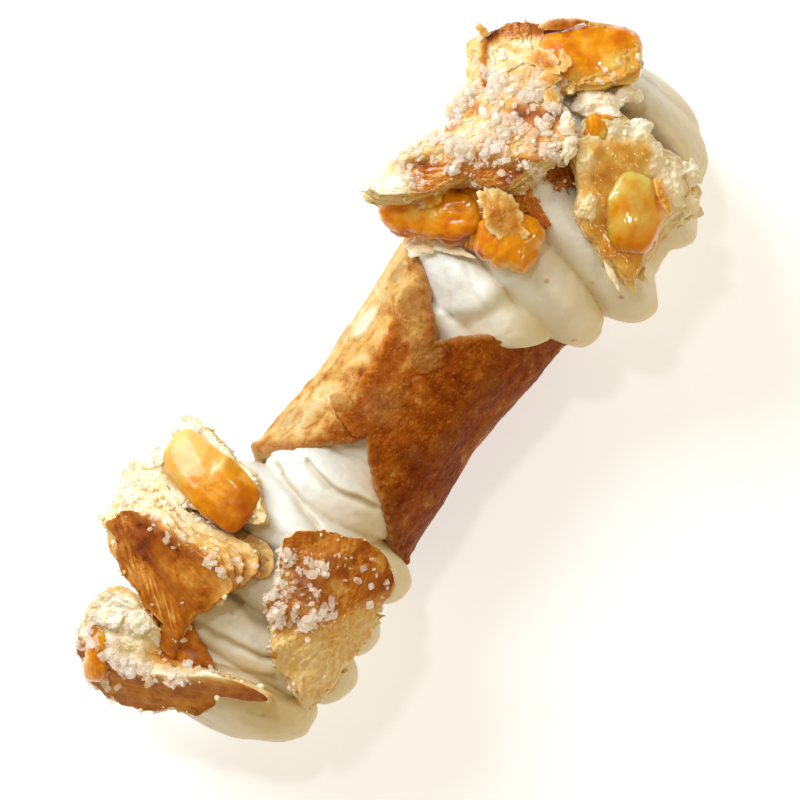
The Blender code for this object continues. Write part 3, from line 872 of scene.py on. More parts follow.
def front_crust_look(x, y, right, down):
    """The domed top of the upper end: pale golden, folded along its length and thick with sugar."""
    sheets, edges, cover = torn_sheets(x, y, -28, 4.4, 61)
    fine = streaks(x, y, -28, 4.0, 0.7, 60)
    wide = soft_noise(in_space(x, y, 1.0), 7.0, 62)
    lip = ((-15, 3.4), (-7, 1.6), (2.4, 3.2), (8, 4.4))
    fold = near_line(right, down, lip, 0.8)
    under = near_line(right, down - 1.6, lip, 0.8)
    band = near_line(right, down, ((-5, -5.5), (3, -3.0), (9.5, -2.6)), 1.6)
    patch = smooth_step(0.0, 0.5, soft_noise(in_space(x, y, 4.0), 4.2, 63))
    tip = smooth_step(-10.5, -15, right)
    soaked = smooth_step(4.4, 5.6, down - 0.1 * right) * smooth_step(10, 7.5, right)
    soaked = soaked * smooth_step(-14, -11, right)
    toasted = spot(right, down, (5.6, -3.0), (3.0, 1.5)) + 0.8 * spot(right, down, (4.6, 4.0), (2.6, 0.8))
    bare = smooth_step(3.0, 5.5, down) * smooth_step(4, 8, right)
    strewn = smooth_step(-16, -9, right) * (0.5 + 0.5 * smooth_step(-0.25, 0.35, wide))
    return {
        "height": 0.17 * sheets + 0.08 * fine + 0.9 * wide + 0.8 * fold - 1.0 * under + 0.6 * band
        - 1.2 * soaked,
        "glaze": 0.8 * soaked,
        "bake": 0.32 + (0.22 + 0.24 * smooth_step(0, 5, right)) * soaked + 0.10 * wide + 0.30 * toasted
        + 0.20 * patch * (1 - tip) + 0.10 * fold + 0.14 * band + 0.24 * under
        + 0.22 * (cover - 0.6) - 0.12 * edges + 0.05 * fine - 0.2 * tip
        + 0.12 * smooth_step(3, 9, right) * smooth_step(5, -2, down),
        "inner": 0.12, "rim": 0.10, "flaky": 0.35 + 0.4 * edges + 0.3 * tip,
        "sugar": strewn * (1 - 0.85 * soaked) * (1 - 0.6 * np.minimum(toasted, 1)) * (1 - 0.75 * bare)
        * smooth_step(-12, -7, down),
    }


def end_crust_look(x, y, right, down):
    """A slice of strudel seen from its cut side: a brown wall on the left, pale layers, then fruit."""
    sheets, edges, _ = torn_sheets(x, y, 36, 3.4, 64)
    wall = near_line(right, down, ((-10.2, 6), (-10.6, 1), (-10.2, -3), (-8.6, -5.2)), 0.6)
    fold = near_line(right, down, ((-9.4, -3.6), (-6.4, -2.0), (-3.0, -1.5)), 0.7)
    grain = streaks(x, y, 36, 6.0, 1.3, 64)
    outside = smooth_step(-10.2, -11.6, right)
    top = smooth_step(-2.8, -4.8, down)
    soaked = smooth_step(-3.5, 0.5, right)
    hollow = smooth_step(-10, -7, right) * (1 - soaked) * (1 - top)
    return {
        "height": 0.7 * wall + 0.2 * sheets + 0.04 * grain - 0.8 * hollow + 0.7 * fold - 1.2 * outside,
        "bake": 0.16 + 0.05 * grain + 0.55 * wall + 0.52 * top * smooth_step(-11, -9.5, right)
        + 0.12 * outside + 0.25 * fold + 0.22 * soaked - 0.1 * edges,
        "glaze": np.maximum(0.9 * soaked * smooth_step(6.5, 3.5, down), 0.6 * top),
        "inner": 0.1, "rim": 0.12, "flaky": 0.3 + 0.3 * edges,
        "sugar": 0.04,
    }


def right_pastry_look(x, y, right, down):
    """Soft inner layers laid open: pale crumb along the right, and on the left a wet golden skin with fine
    grooves that runs into a tail of syrup."""
    warped = in_space(x, y, 0.4) + 0.4 * soft_noise(in_space(x, y, 7), 1.1, 59)[..., None]
    crumb, _ = cell_distance(warped, 1.7, 66)
    loose = layered_noise(in_space(x, y, 2.4), 3.0, 4, 65)
    grain = streaks(x, y, -104, 5.0, 0.8, 67)
    wide_grain = streaks(x, y, -96, 8.0, 2.0, 58)
    wander = 1.2 * soft_noise(in_space(x, y, 9), 3.0, 57)
    syrup = smooth_step(3.4, 0.6, right + 0.2 * down + wander) * smooth_step(-9.5, -6.0, down)
    syrup = np.maximum(syrup, smooth_step(5, 8, down))
    lump = np.maximum(
        spot(right, down, (-6.8, 2.8), (1.7, 1.9)), spot(right, down, (-7.4, -4.2), (2.1, 2.3)))
    bed = spot(right, down, (1.2, 3.6), (4.6, 5.6))
    amber = np.clip(1.4 * spot(right, down, (-1.0, 5.5), (4.6, 6.5)), 0, 1) * (1 - lump)
    return {
        "height": (0.6 * (0.6 - crumb) + 0.9 * loose) * (1 - 0.75 * syrup)
        + (0.08 * grain + 0.25 * wide_grain) * syrup + 0.8 * lump * (1 + loose) - 1.0 * bed + 0.5 * syrup,
        "bake": 0.08 + 0.08 * loose + 0.22 * syrup * (1 - lump) + 0.16 * amber
        + (0.06 * grain + 0.09 * wide_grain) * syrup
        + 0.2 * smooth_step(-8.0, -11, down) * smooth_step(-1, -5, right),
        "glaze": np.maximum(0.9 * syrup * (1 - 0.6 * lump), amber),
        "inner": 0.06, "rim": 0.04, "flaky": 0.6 * (1 - syrup),
    }


def soaked_pastry_look(x, y, right, down):
    """Inner layers soaked brown by the filling, seen in the gap between two pieces."""
    sheets, edges, cover = torn_sheets(x, y, -110, 2.6, 68)
    return {
        "height": 0.25 * sheets,
        "bake": 0.62 + 0.14 * (cover - 0.5) - 0.2 * edges,
        "glaze": 0.55, "inner": 0.45, "rim": 0.1,
    }


def brown_slab_look(x, y, right, down):
    """The big browned piece of the lower end: a smooth egg-washed crust, torn open along its right side,
    where thin pale sheets lie one over another."""
    sheets, _, _ = torn_sheets(x, y, 76, 4.2, 69, 2)
    fine = streaks(x, y, 78, 5.5, 0.6, 70)
    wide = soft_noise(in_space(x, y, 2.2), 6.5, 71)
    small = soft_noise(in_space(x, y, 6.1), 2.4, 82)
    beyond_mm = np.interp(right, (-7.5, -1.0, 7.4, 13.8), (-7.5, -3.2, 2.0, 3.9)) - down
    beyond = smooth_step(-0.5, 0.9, beyond_mm + 0.5 * small)
    leaf = np.mod(beyond_mm * 0.55 + 0.4 * wide + 0.12 * small, 1)
    ridge = bell(beyond_mm, 1.1)
    groove = near_line(right, down, ((-4.5, 1.5), (0.5, 7.5), (2.0, 13)), 0.9)
    gold = smooth_step(3.0, 11.0, right) + 0.6 * smooth_step(0.15, 0.5, small) * smooth_step(0.0, 0.4, wide)
    gold = np.clip(gold, 0, 1) * (1 - beyond)
    pale_left = smooth_step(-9.0, -12.0, right)
    lines = streaks(x, y, 52, 4.0, 0.45, 83)
    flaked = near_line(right, down, ((-9, -4), (-7.8, 0), (-5, 5), (0, 11)), 1.7) * (0.5 + 0.9 * lines)
    flaked = flaked + spot(right, down, (2.4, 4.2), (2.4, 2.0)) * (0.6 + 0.8 * small)
    flaked = np.clip(flaked, 0, 1) + 0.5 * spot(right, down, (-5.8, -5.6), (1.6, 1.3))
    dropped = 0.9 + 0.25 * beyond_mm - 0.30 * smooth_step(0, 0.8, leaf)
    crust = (
        0.74 + 0.10 * smooth_step(0, -8, right + 0.6 * down) + 0.16 * wide + 0.07 * fine + 0.10 * small
        - 0.20 * gold - 0.10 * ridge + 0.08 * groove - 0.30 * pale_left - 0.28 * flaked)
    leaves = 0.09 + 0.30 * smooth_step(-9, 0, down) + 0.30 * (1 - leaf) ** 2 + 0.06 * small
    return {
        "height": 0.12 * sheets * (1 - beyond) + 0.06 * fine + 0.12 * lines * flaked + 0.7 * wide
        + 0.8 * ridge - 0.3 * groove - dropped * beyond,
        "bake": (1 - beyond) * crust + beyond * leaves,
        "inner": 0.03 + 0.26 * smooth_step(-8, 2, down), "rim": -0.12,
        "flaky": 0.10 + 0.15 * beyond + 0.2 * gold,
        "sugar": 0.24 * beyond * smooth_step(-3, -9, down) + 0.2 * ridge + 0.004,
    }


def pale_ledge_look(x, y, right, down):
    """Pale, half raw looking inner layers under the apple."""
    sheets, edges, _ = torn_sheets(x, y, 74, 2.8, 73)
    loose = layered_noise(in_space(x, y, 0.9), 2.8, 3, 72)
    return {
        "height": 0.2 * sheets + 0.8 * loose,
        "bake": 0.08 + 0.08 * loose + 0.12 * smooth_step(2, 6, down) - 0.05 * edges,
        "glaze": 0.35 * smooth_step(-1, 4, down), "inner": 0.03, "rim": 0.04, "flaky": 0.8,
        "sugar": 0.25 * smooth_step(-3, -6, down),
    }


CRESCENT_BROW = (
    (-12, -4.0), (-8.5, -2.0), (-6.3, -0.4), (-1.9, 1.2), (3.7, 2.4), (9.6, 1.6), (14, 2.0), (20, 3.0))


def crescent_look(x, y, right, down):
    """The piece at the far end: a brown crescent of crust below, a sugared brow, and a pale hollow behind."""
    crust = above_line(right, down, CRESCENT_BROW, 0.6)
    brow = near_line(right, down, CRESCENT_BROW, 1.2)
    sheets, _, _ = torn_sheets(x, y, -58, 3.2, 74)
    fine = streaks(x, y, -60, 4.0, 0.5, 75)
    loose = layered_noise(in_space(x, y, 5.0), 3.2, 3, 76)
    wide = soft_noise(in_space(x, y, 1.2), 6.0, 77)
    below = down - np.interp(right, *np.array(CRESCENT_BROW).T)
    hollow = spot(right, down, (5.5, -1.4), (5.2, 2.6))
    far = smooth_step(-3, -8, down)
    return {
        "height": crust * (0.06 * sheets + 0.1 * fine + 0.5 * wide - 0.35 * np.clip(below, 0, 9)) + 1.1 * brow
        + (1 - crust) * (0.4 * loose + 0.2 * sheets) - 3.2 * hollow + 0.5 * far,
        "bake": 0.10 + crust * (0.56 + 0.16 * wide + 0.07 * fine) + 0.62 * hollow * (1 - crust)
        - 0.22 * brow + 0.06 * loose * (1 - crust),
        "glaze": 0.8 * hollow * (1 - crust), "inner": 0.14, "rim": 0.06,
        "flaky": 0.6 - 0.45 * crust,
        "sugar": 0.45 * brow * smooth_step(9, 3, right) + 0.18 * (1 - crust) * (1 - hollow)
        * smooth_step(-8.5, -4.5, down) + 0.16 * smooth_step(-5.0, -8.0, right),
    }


def wavy_crust_look(x, y, right, down):
    """A crust that is brown and sugared at its top and thins to a pale, wrinkled sheet below."""
    border = ((-11, 1.6), (-7, 3.2), (-2.9, 3.4), (1.1, 1.6), (6.7, -0.9), (12, -3.4))
    brown = 1 - above_line(right, down, border, 1.9)
    sheets, edges, _ = torn_sheets(x, y, 20, 4.2, 76)
    fine = streaks(x, y, 28, 4.0, 0.7, 80)
    wrinkle = streaks(x, y, -20, 6.5, 1.6, 77)
    wide = soft_noise(in_space(x, y, 3.0), 5.5, 78)
    light = smooth_step(0.05, 0.45, soft_noise(in_space(x, y, 8.0), 3.0, 79))
    left = smooth_step(4.5, -2.5, right)
    return {
        "height": 0.9 * wide + 0.08 * fine + 0.14 * sheets + 0.3 * wrinkle * (1 - brown) + 0.5 * brown,
        "bake": 0.24 + 0.39 * brown + 0.05 * fine + 0.05 * wrinkle * (1 - brown) - 0.14 * light * brown
        + 0.12 * wide * brown + 0.10 * smooth_step(2, -3, down) - 0.08 * edges
        + 0.08 * (1 - brown) * smooth_step(9, 3, down),
        "glaze": 0.5 * (1 - brown), "inner": 0.10 + 0.34 * brown * smooth_step(-4, 1, right), "rim": 0.04,
        "flaky": 0.6 - 0.5 * brown,
        "sugar": 0.6 * brown * (0.12 + 0.88 * left) * smooth_step(-10.5, -8, down)
        * (0.3 + 0.7 * smooth_step(-0.3, 0.3, wide)),
    }


# Centre (mm), how far the outline and the rim of the top sheet reach at twelve even turns (mm), slope
# (degrees), dome and depth (mm), sheets, seed, look, the tips that stick out as angle, reach and width, and
# how much the edges are torn.
PASTRY_PIECES = (
    ("crust_upper_end", (55.5, 13.0, 36.8), (7, 6, 7, 10, 12.6, 12.6, 7, 6, 6.5, 8, 14.4, 12.3),
     (6.8, 5.8, 6.8, 9.6, 12.2, 12.2, 6.6, 5.4, 5.8, 7.4, 13.8, 11.8), (-26, 18), 0.6, 7.0, 7, 101,
     end_crust_look, ((110, 1.5, 7),), 0.8),
    ("pastry_upper_right", (46.0, -9.0, 39.2), (9.5, 11, 13.5, 11, 8.5, 9.5, 10, 13, 10.5, 9.5, 12, 10.5),
     (8.6, 10, 11.5, 10, 8.0, 9, 9.6, 12.4, 9, 6.4, 8.5, 8.4), (23, 6), 1.2, 6.0, 6, 102,
     right_pastry_look, ((218, 2.2, 7), (292, 1.6, 5), (325, 1.0, 5)), 1.0),
    ("pastry_upper_left", (39.0, 2.5, 37.0), (8.5, 5.5, 5.5, 6.5, 6.5, 5.5, 5.5, 8, 6.5, 5, 5, 6.5),
     (7.5, 5, 5, 6, 6, 5, 5, 7, 5.5, 4.4, 4.4, 5.6), (6, 0), 0.4, 5.5, 5, 103,
     soaked_pastry_look, (), 0.9),
    ("crust_upper_left", (40.0, 13.5, 39.6), (15, 12, 9, 8, 8, 20, 10, 8.5, 10, 10, 14, 12.5),
     (14, 11.4, 8.6, 7.6, 7.6, 18, 8.4, 6.9, 8.2, 7.8, 12, 11.4), (-28, 6), 3.0, 6.5, 7, 104,
     front_crust_look, ((150, 2.0, 6), (12, 1.5, 6), (28, 1.2, 5), (352, 1.2, 5), (300, 0.8, 4)), 1.0),
    ("pastry_lower_left", (-29.0, 17.5, 29.6), (5, 6.5, 10, 9, 8, 7.5, 6, 6.5, 8, 10, 8, 5.5),
     (4.4, 5.8, 9, 8, 7.2, 7, 5.6, 6, 7.4, 9, 7.2, 5), (-26, 4), 0.5, 5.0, 5, 105,
     pale_ledge_look, ((62, 1.2, 7), (268, 2.0, 7)), 1.0),
    ("crust_lower_end", (-58.8, 8.5, 26.6), (4, 7.5, 13, 13.4, 12.8, 11.8, 10.2, 9.2, 9.4, 12.6, 7.8, 3.5),
     (3.6, 7, 12.6, 12.8, 12.2, 11.2, 9.6, 8.6, 8.9, 12.2, 7.5, 3.2), (-10, -34), 1.0, 8.0, 7, 106,
     crescent_look, ((291, 11.0, 7),), 0.7),
    ("crust_lower_right", (-35.0, -9.0, 34.2), (12.5, 12, 13, 9, 9.5, 9.5, 13, 15, 10, 8.5, 8.5, 12),
     (12.3, 11.8, 12.8, 8.8, 9.2, 8.8, 11.8, 13.4, 9.0, 8.3, 8.4, 11.8), (20, -8), 2.4, 5.0, 5, 107,
     wavy_crust_look, ((205, 2.0, 7),), 0.9),
    ("crust_lower_left", (-41.5, 15.5, 33.2), (8, 9, 15.5, 13.6, 12, 10.2, 10.2, 13, 11, 11.5, 16, 9.5),
     (2.6, 2.9, 5.2, 10.2, 10.2, 9.6, 9.6, 12.2, 10.3, 10.8, 7.5, 3.3), (-22, -22), 2.2, 9.0, 6, 108,
     brown_slab_look, ((218, 2.2, 7), (70, 1.0, 6), (106, 1.8, 6)), 0.9),
)
sugared = []
torn_edges = []
edge_bakes = []
for name, *shape in PASTRY_PIECES:
    piece_points, piece_masks, piece_sugar, piece_rim = torn_pastry(*shape)
    new_piece(name + "_pastry", piece_points, [grid_faces(*piece_points.shape[:2])], puff_pastry,
              (name,), piece_masks)
    outward, area = grid_normals(piece_points)
    sugared.append((piece_points, outward, area * piece_sugar))
    edge_bakes.append(piece_masks["bake"])
    torn_edges.append((piece_points, outward, area * piece_rim * smooth_step(-0.6, 0.2, outward[..., 2])))

# Scraps that hang on the torn pieces: pale crumb, thin golden sheets and bits of crust. One thinner than
# THIN_BIT (mm) has a more ragged edge.
BIT_ROUND = 96
BIT_ROWS = 18
BIT_CORNERS = 11
THIN_BIT = 0.6


def random_corners(turn, count, low, high, chance):
    """A value at each turn that runs straight from corner to corner, the corners a little off even turns."""
    corners = np.arange(count) * TAU / count + chance.uniform(-0.2, 0.2, count)
    return np.interp(turn, corners, chance.uniform(low, high, count), period=TAU)


def torn_bit(centre, long, wide, thick, turned, slope, seed, bake, glaze):
    """A scrap as a closed polar grid: an ellipse of the given half sizes pulled in and out at its corners.
    Its top and its underside stand off the middle by a half ellipse's height and meet in a thin edge."""
    turn = np.linspace(0, TAU, BIT_ROUND, endpoint=False)[None, :]
    fall = np.linspace(0, 1, BIT_ROWS)[:, None]
    share = np.concatenate([fall, fall[::-1]])
    share[BIT_ROWS] = 0.985
    side = np.repeat((1.0, -1.0), BIT_ROWS)[:, None]
    ring = in_space(long * np.cos(turn), wide * np.sin(turn), seed)
    ripped = 1.8 if thick < THIN_BIT else 1.0
    rips = random_corners(turn, BIT_CORNERS, 0.66, 1.24, np.random.default_rng(seed))
    small_rips = 0.10 * soft_noise(ring, 1.1, seed + 1) + 0.07 * soft_noise(ring, 0.45, seed + 2) * share**2
    rips = rips + ripped * small_rips
    crumb = min(0.75, 0.5 * thick)
    x, y = long * share * rips * np.cos(turn), wide * share * rips * np.sin(turn)
    flat = in_space(x, y, seed)
    loose = layered_noise(flat, 1.8, 3, seed + 3)
    z = side * thick * np.sqrt(np.maximum(1 - share**2, 0)) + crumb * loose
    z = z + 0.2 * long * soft_noise(flat, 0.9 * long + 1, seed + 6)
    angle = math.radians(turned)
    x, y = x * math.cos(angle) - y * math.sin(angle), x * math.sin(angle) + y * math.cos(angle)
    points = in_space(x, y, z + tilted(x, y, slope)) + np.array(centre, float)
    close_poles(points)
    browned = bake + 0.10 * loose - 0.6 * bake * share**4
    return points, {"bake": browned, "flaky": 0.8 + 0 * x, "glaze": glaze + 0 * x}


# Centre (mm), half length, width and thickness (mm), turn about Z (degrees), slope, seed, browning, syrup.
TORN_BITS = (
    ("ledge_bit", (54.1, 3.2, 38.4), 5.4, 2.7, 1.3, -50, (-10, 12), 201, 0.0, 0),
    ("ledge_bit_end", (58.4, 0.1, 37.2), 2.4, 1.6, 1.9, -70, (10, 12), 202, 0.04, 0),
    ("top_flake", (54.4, 14.0, 40.2), 3.4, 1.5, 0.4, 96, (-36, -6), 203, 0.50, 0.4),
    ("top_flake_pale", (51.2, 17.6, 38.6), 2.4, 1.0, 0.3, -26, (-20, 10), 204, 0.22, 0.2),
    ("top_flake_side", (52.4, 11.6, 41.6), 2.7, 1.2, 0.4, 150, (-20, 20), 205, 0.46, 0.4),
    ("top_flake_low", (50.6, 9.6, 42.3), 2.3, 1.2, 0.4, 66, (-10, 24), 229, 0.38, 0.3),
    ("top_flake_back", (56.0, 11.0, 41.4), 2.2, 1.0, 0.4, 30, (-24, 14), 230, 0.44, 0.3),
    ("crust_end_bit", (47.6, 4.6, 44.6), 2.2, 1.4, 1.0, 35, (12, 0), 206, 0.12, 0),
    ("crust_end_bit_low", (44.8, 2.4, 45.4), 2.3, 1.4, 1.0, 15, (14, 0), 207, 0.14, 0),
    ("crust_tip_bit", (23.6, 24.2, 36.4), 2.4, 1.2, 0.8, -20, (-30, 10), 208, 0.16, 0),
    ("under_crust_sheet", (22.6, 9.4, 30.6), 4.6, 1.3, 0.5, -76, (-30, -10), 209, 0.16, 0.1),
    ("under_crust_bit", (20.6, 12.6, 27.4), 2.6, 1.8, 0.7, -40, (-34, -10), 210, 0.14, 0.1),
    ("apple_sheet", (31.0, 4.9, 41.0), 4.9, 2.8, 0.5, 79, (4, -10), 231, 0.52, 0.2),
    ("top_rim", (61.0, 15.2, 36.9), 3.9, 1.0, 1.2, -50, (-20, 10), 227, 0.64, 0.5),
    ("top_rim_right", (65.0, 8.8, 36.6), 3.6, 0.9, 1.0, -62, (-6, 30), 228, 0.5, 0.6),
    ("crumb_lump", (39.6, -5.2, 42.8), 2.0, 1.5, 1.1, 20, (20, 0), 213, 0.08, 0.5),
    ("wet_lump", (45.2, -1.2, 43.1), 2.3, 1.9, 1.0, 70, (10, 0), 224, 0.08, 0.5),
    ("glazed_fin", (48.6, -13.0, 40.2), 3.4, 0.9, 0.9, 54, (0, 16), 225, 0.42, 1),
    ("side_bit", (54.4, -15.6, 34.0), 2.4, 1.4, 1.0, 60, (30, 0), 214, 0.05, 0),
    ("side_bit_low", (50.5, -18.2, 33.4), 2.0, 1.3, 0.9, 30, (30, 0), 215, 0.08, 0.2),
    ("side_bit_top", (54.7, -4.6, 38.0), 2.6, 1.6, 1.2, -40, (20, 10), 216, 0.03, 0),
    ("tail_edge", (35.8, -11.8, 37.6), 5.0, 0.8, 0.5, 60, (16, 6), 217, 0.1, 0.3),
    ("tail_bit", (35.2, -17.4, 35.6), 2.0, 1.0, 0.5, 50, (20, -6), 218, 0.26, 0.8),
    ("wall_spike", (53.4, 24.6, 34.2), 1.3, 0.9, 1.0, 80, (-20, 0), 226, 0.42, 0.4),
    ("band_bit", (-31.2, 26.4, 29.6), 2.4, 1.7, 1.3, 30, (-20, -10), 219, 0.04, 0.1),
    ("ledge_top_bit", (-25.6, 25.0, 28.6), 2.2, 1.5, 1.3, 40, (-20, 10), 220, 0.02, 0),
    ("pale_top_bit", (-56.4, 18.2, 28.0), 3.0, 2.2, 0.9, 20, (-20, -20), 221, 0.05, 0),
    ("pale_top_side", (-54.4, 13.8, 30.4), 2.4, 1.7, 0.7, 60, (-10, -30), 222, 0.04, 0),
)
for name, *shape in TORN_BITS:
    bit_points, bit_masks = torn_bit(*shape)
    new_piece(name, bit_points, [grid_faces(*bit_points.shape[:2])], puff_pastry,
              masks=bit_masks)

# ---------------------------------------------------------------------------------------------------------
# Fruit: chunks of apple baked in sugar and butter until they turn translucent amber, wet with syrup, and
# the darker filling that clings under the crust.

APPLE_ROUND = 128
APPLE_ROWS = 72
APPLE_CORNERS = 13

# How sharply the flats that cut a chunk meet its rounded block.
FLAT_BLEND = 26


def square_round(across, along, corner):
    """How far out a squared circle lies one way: (|a|^n + |b|^n)^(-1/n), so a bigger n is squarer."""
    return (np.abs(across) ** corner + np.abs(along) ** corner) ** (-1 / corner)


def apple_chunk(centre, halves, turned, slope, corner, seed, cuts, dents, lumps, ragged, tone, fade):
    """A chunk as a closed polar grid: a rounded block, whose reach and rise both follow a squared circle. A
    few soft flats cut it, corners by chance pull its outline in and out, and dents, lumps, crumbs and fine
    fibres cover it. The mask says how deep in the fruit's amber the place looks."""
    long, wide, tall = halves
    turn = np.linspace(0, TAU, APPLE_ROUND, endpoint=False)[None, :]
    bend = np.linspace(0, math.pi, APPLE_ROWS)[:, None]
    around = turn - math.radians(turned)
    edge = square_round(np.cos(around) / long, np.sin(around) / wide, corner)
    edge = edge * (1 + 0.10 * soft_noise(in_space(2 * np.cos(turn), 2 * np.sin(turn), seed), 1.6, seed))
    round_off = square_round(np.sin(bend), np.cos(bend), corner)
    ring, lift = np.sin(bend) * round_off, np.cos(bend) * round_off
    unit = in_space(ring * np.cos(turn), ring * np.sin(turn), lift)
    chance = np.random.default_rng(seed + 300)
    edge = edge * (1 + ragged * random_corners(turn, APPLE_CORNERS, -1.0, 0.8, chance))
    faces = chance.normal(size=(cuts, 3))
    faces /= np.linalg.norm(faces, axis=1)[:, None]
    reach = chance.uniform(0.86, 1.06, cuts)
    towards = np.maximum(unit @ faces.T, 0.02)
    limit = np.concatenate([np.ones(unit.shape[:2] + (1,)), reach / towards], axis=-1)
    pull = -np.log(np.exp(-FLAT_BLEND * np.minimum(limit, 3)).sum(axis=-1)) / FLAT_BLEND
    x, y = edge * pull * ring * np.cos(turn), edge * pull * ring * np.sin(turn)
    rise = tall * lift * pull
    flat = in_space(x, y, rise + seed)
    dent = 0.55 * soft_noise(flat, 4.2, seed) + 0.25 * soft_noise(flat, 1.9, seed + 1)
    near, second = cell_distance(flat + 0.9 * soft_noise(flat, 2.5, seed + 5)[..., None], 5.4, seed + 6)
    groove = np.exp(-((second - near) / 0.12))
    fibres = 0.2 * streaks(x, y, turned + 8, 6.0, 0.7, seed + 2)
    crumbs = layered_noise(flat, 2.3, 3, seed + 3)
    swell = dents * (dent + fibres) * 4 + lumps * (0.5 - near - 0.3 * groove) + 1.1 * ragged * crumbs
    swell_out = 1 + swell / np.maximum(edge, 1) * ring
    height = rise + tilted(x, y, slope) + swell * lift
    points = in_space(x * swell_out, y * swell_out, height) + np.array(centre, float)
    close_poles(points)
    right, down = as_seen(x, y)
    deep = tone + fade * (down + 0.5 * right) + 0.3 * dent + 0.25 * lumps * (groove - 0.2)
    deep = deep - 0.06 * rise / tall - 0.9 * ragged * crumbs
    return points, {"deep": deep}


def fruit_finish(name, pale, amber, dark, wet=0.75):
    """Candied fruit flesh: light scatters deep inside it, and a thin wet film gives it small, sharp
    highlights."""
    finish, shader = new_finish(
        name, Roughness=0.3, Transmission_Weight=0.1, IOR=1.38, Subsurface_Weight=0.85,
        Subsurface_Radius=(2.4, 1.7, 0.5), Subsurface_Scale=0.0013, Specular_IOR_Level=0.2, Coat_Weight=wet,
        Coat_Roughness=0.05)
    cloud = math_of(finish, "SUBTRACT", pattern(finish, 3.0, 3.0, 21.0), 0.5)
    tone = math_of(finish, "ADD", mask_of(finish, "deep"), cloud)
    feed(finish, shader, "Base Color", colour_ramp(finish, tone, ((0.05, pale), (0.45, amber), (0.9, dark))))
    fibre = add_relief(finish, shader, pattern(finish, 0.9, 2.0, 22.0), 0.10)
    add_relief(finish, shader, pattern(finish, 3.2, 2.0, 23.0), 0.5, fibre)
    return finish


baked_apple = fruit_finish("baked_apple", "#FBDC74", "#F2A008", "#CC5C00")
cut_apple = fruit_finish("cut_apple", "#F2CE78", "#EEA416", "#BC5C06", 0.3)
dark_filling = fruit_finish("syrup_soaked_filling", "#F0A428", "#D0780C", "#8A4808")

# Centre, half sizes (mm), turn (degrees), slope, squareness, seed, flats, dents, lumps, raggedness, tone,
# fade down the piece, and finish.
FRUIT_PIECES = (
    ("apple_upper_front", (29.3, 2.0, 36.2), (5.4, 5.2, 4.4), 20, (-4, -8), 2.8, 11, 6, 0.10, 0.2, 0.14,
     0.60, -0.035, baked_apple),
    ("apple_upper_right", (43.7, -11.7, 38.4), (6.6, 4.9, 3.1), 36, (22, 4), 2.4, 2, 4, 0.06, 0.0, 0.03,
     0.36, 0.03, baked_apple),
    ("apple_upper_end", (59.4, 8.2, 36.6), (8.2, 5.0, 3.8), -54, (-12, 16), 3.4, 13, 5, 0.08, 0.2, 0.15,
     0.50, -0.03, baked_apple),
    ("filling_upper_left", (25.8, 14.2, 31.4), (7.8, 4.6, 4.2), -62, (-24, -12), 2.7, 14, 5, 0.12, 0.3, 0.18,
     0.56, 0.03, baked_apple),
    ("apple_lower_left", (-29.3, 17.6, 31.4), (8.7, 4.7, 3.6), 86, (-10, 4), 5.6, 5, 7, 0.04, 0.0, 0.03,
     0.46, 0.05, cut_apple),
    ("apple_lower_end", (-63.2, 16.6, 22.2), (5.2, 2.2, 3.0), 30, (-16, -30), 3.0, 6, 2, 0.1, 0.2, 0.14,
     0.56, 0.0, baked_apple),
    ("filling_lower_end", (-53.8, 4.0, 26.4), (5.0, 2.8, 2.6), 60, (0, -10), 2.4, 7, 4, 0.2, 0.5, 0.15,
     0.5, 0.0, dark_filling),
    ("syrup_under_crust", (29.8, 7.8, 34.0), (7.6, 5.6, 3.6), -54, (-14, -12), 2.6, 8, 4, 0.12, 0.4, 0.2,
     0.5, 0.0, dark_filling),
    ("syrup_between", (27.8, 7.2, 33.8), (3.6, 2.6, 2.4), 20, (-14, -12), 2.4, 16, 4, 0.12, 0.4, 0.2,
     0.66, 0.0, baked_apple),
    ("syrup_left", (22.4, 16.4, 29.0), (3.8, 2.4, 2.2), -50, (-24, -12), 2.4, 17, 4, 0.12, 0.4, 0.2,
     0.8, 0.0, baked_apple),
    ("syrup_top", (27.0, 16.2, 33.6), (3.4, 2.4, 2.4), -80, (-24, -12), 2.4, 18, 4, 0.12, 0.4, 0.22,
     0.5, 0.0, baked_apple),
    ("syrup_gap", (-53.8, 8.4, 27.4), (3.4, 2.4, 2.4), 40, (0, -20), 2.4, 19, 4, 0.12, 0.4, 0.2,
     0.5, 0.0, dark_filling),
    ("syrup_bit", (50.4, 0.6, 41.6), (2.9, 2.3, 1.8), 30, (16, 6), 2.6, 9, 3, 0.12, 0.4, 0.16,
     0.58, 0.0, baked_apple),
)
for name, *shape, finish in FRUIT_PIECES:
    chunk_points, chunk_masks = apple_chunk(*shape)
    nodes = () if name.startswith("syrup") else (name,)
    new_piece(name + "_flesh", chunk_points, [grid_faces(*chunk_points.shape[:2])], finish,
              nodes, chunk_masks)

# ---------------------------------------------------------------------------------------------------------
# Coarse sugar: clear, angular grains of about a millimetre, strewn on before baking and stuck in clumps.


def random_turns(count, chance):
    """Rotation matrices from evenly spread random quaternions."""
    w, x, y, z = chance.normal(size=(4, count))
    size = np.sqrt(w * w + x * x + y * y + z * z)
    w, x, y, z = w / size, x / size, y / size, z / size
    rows = (
        (1 - 2 * (y * y + z * z), 2 * (x * y - z * w), 2 * (x * z + y * w)),
        (2 * (x * y + z * w), 1 - 2 * (x * x + z * z), 2 * (y * z - x * w)),
        (2 * (x * z - y * w), 2 * (y * z + x * w), 1 - 2 * (x * x + y * y)),
    )
    return np.stack([np.stack(row, axis=-1) for row in rows], axis=-2)


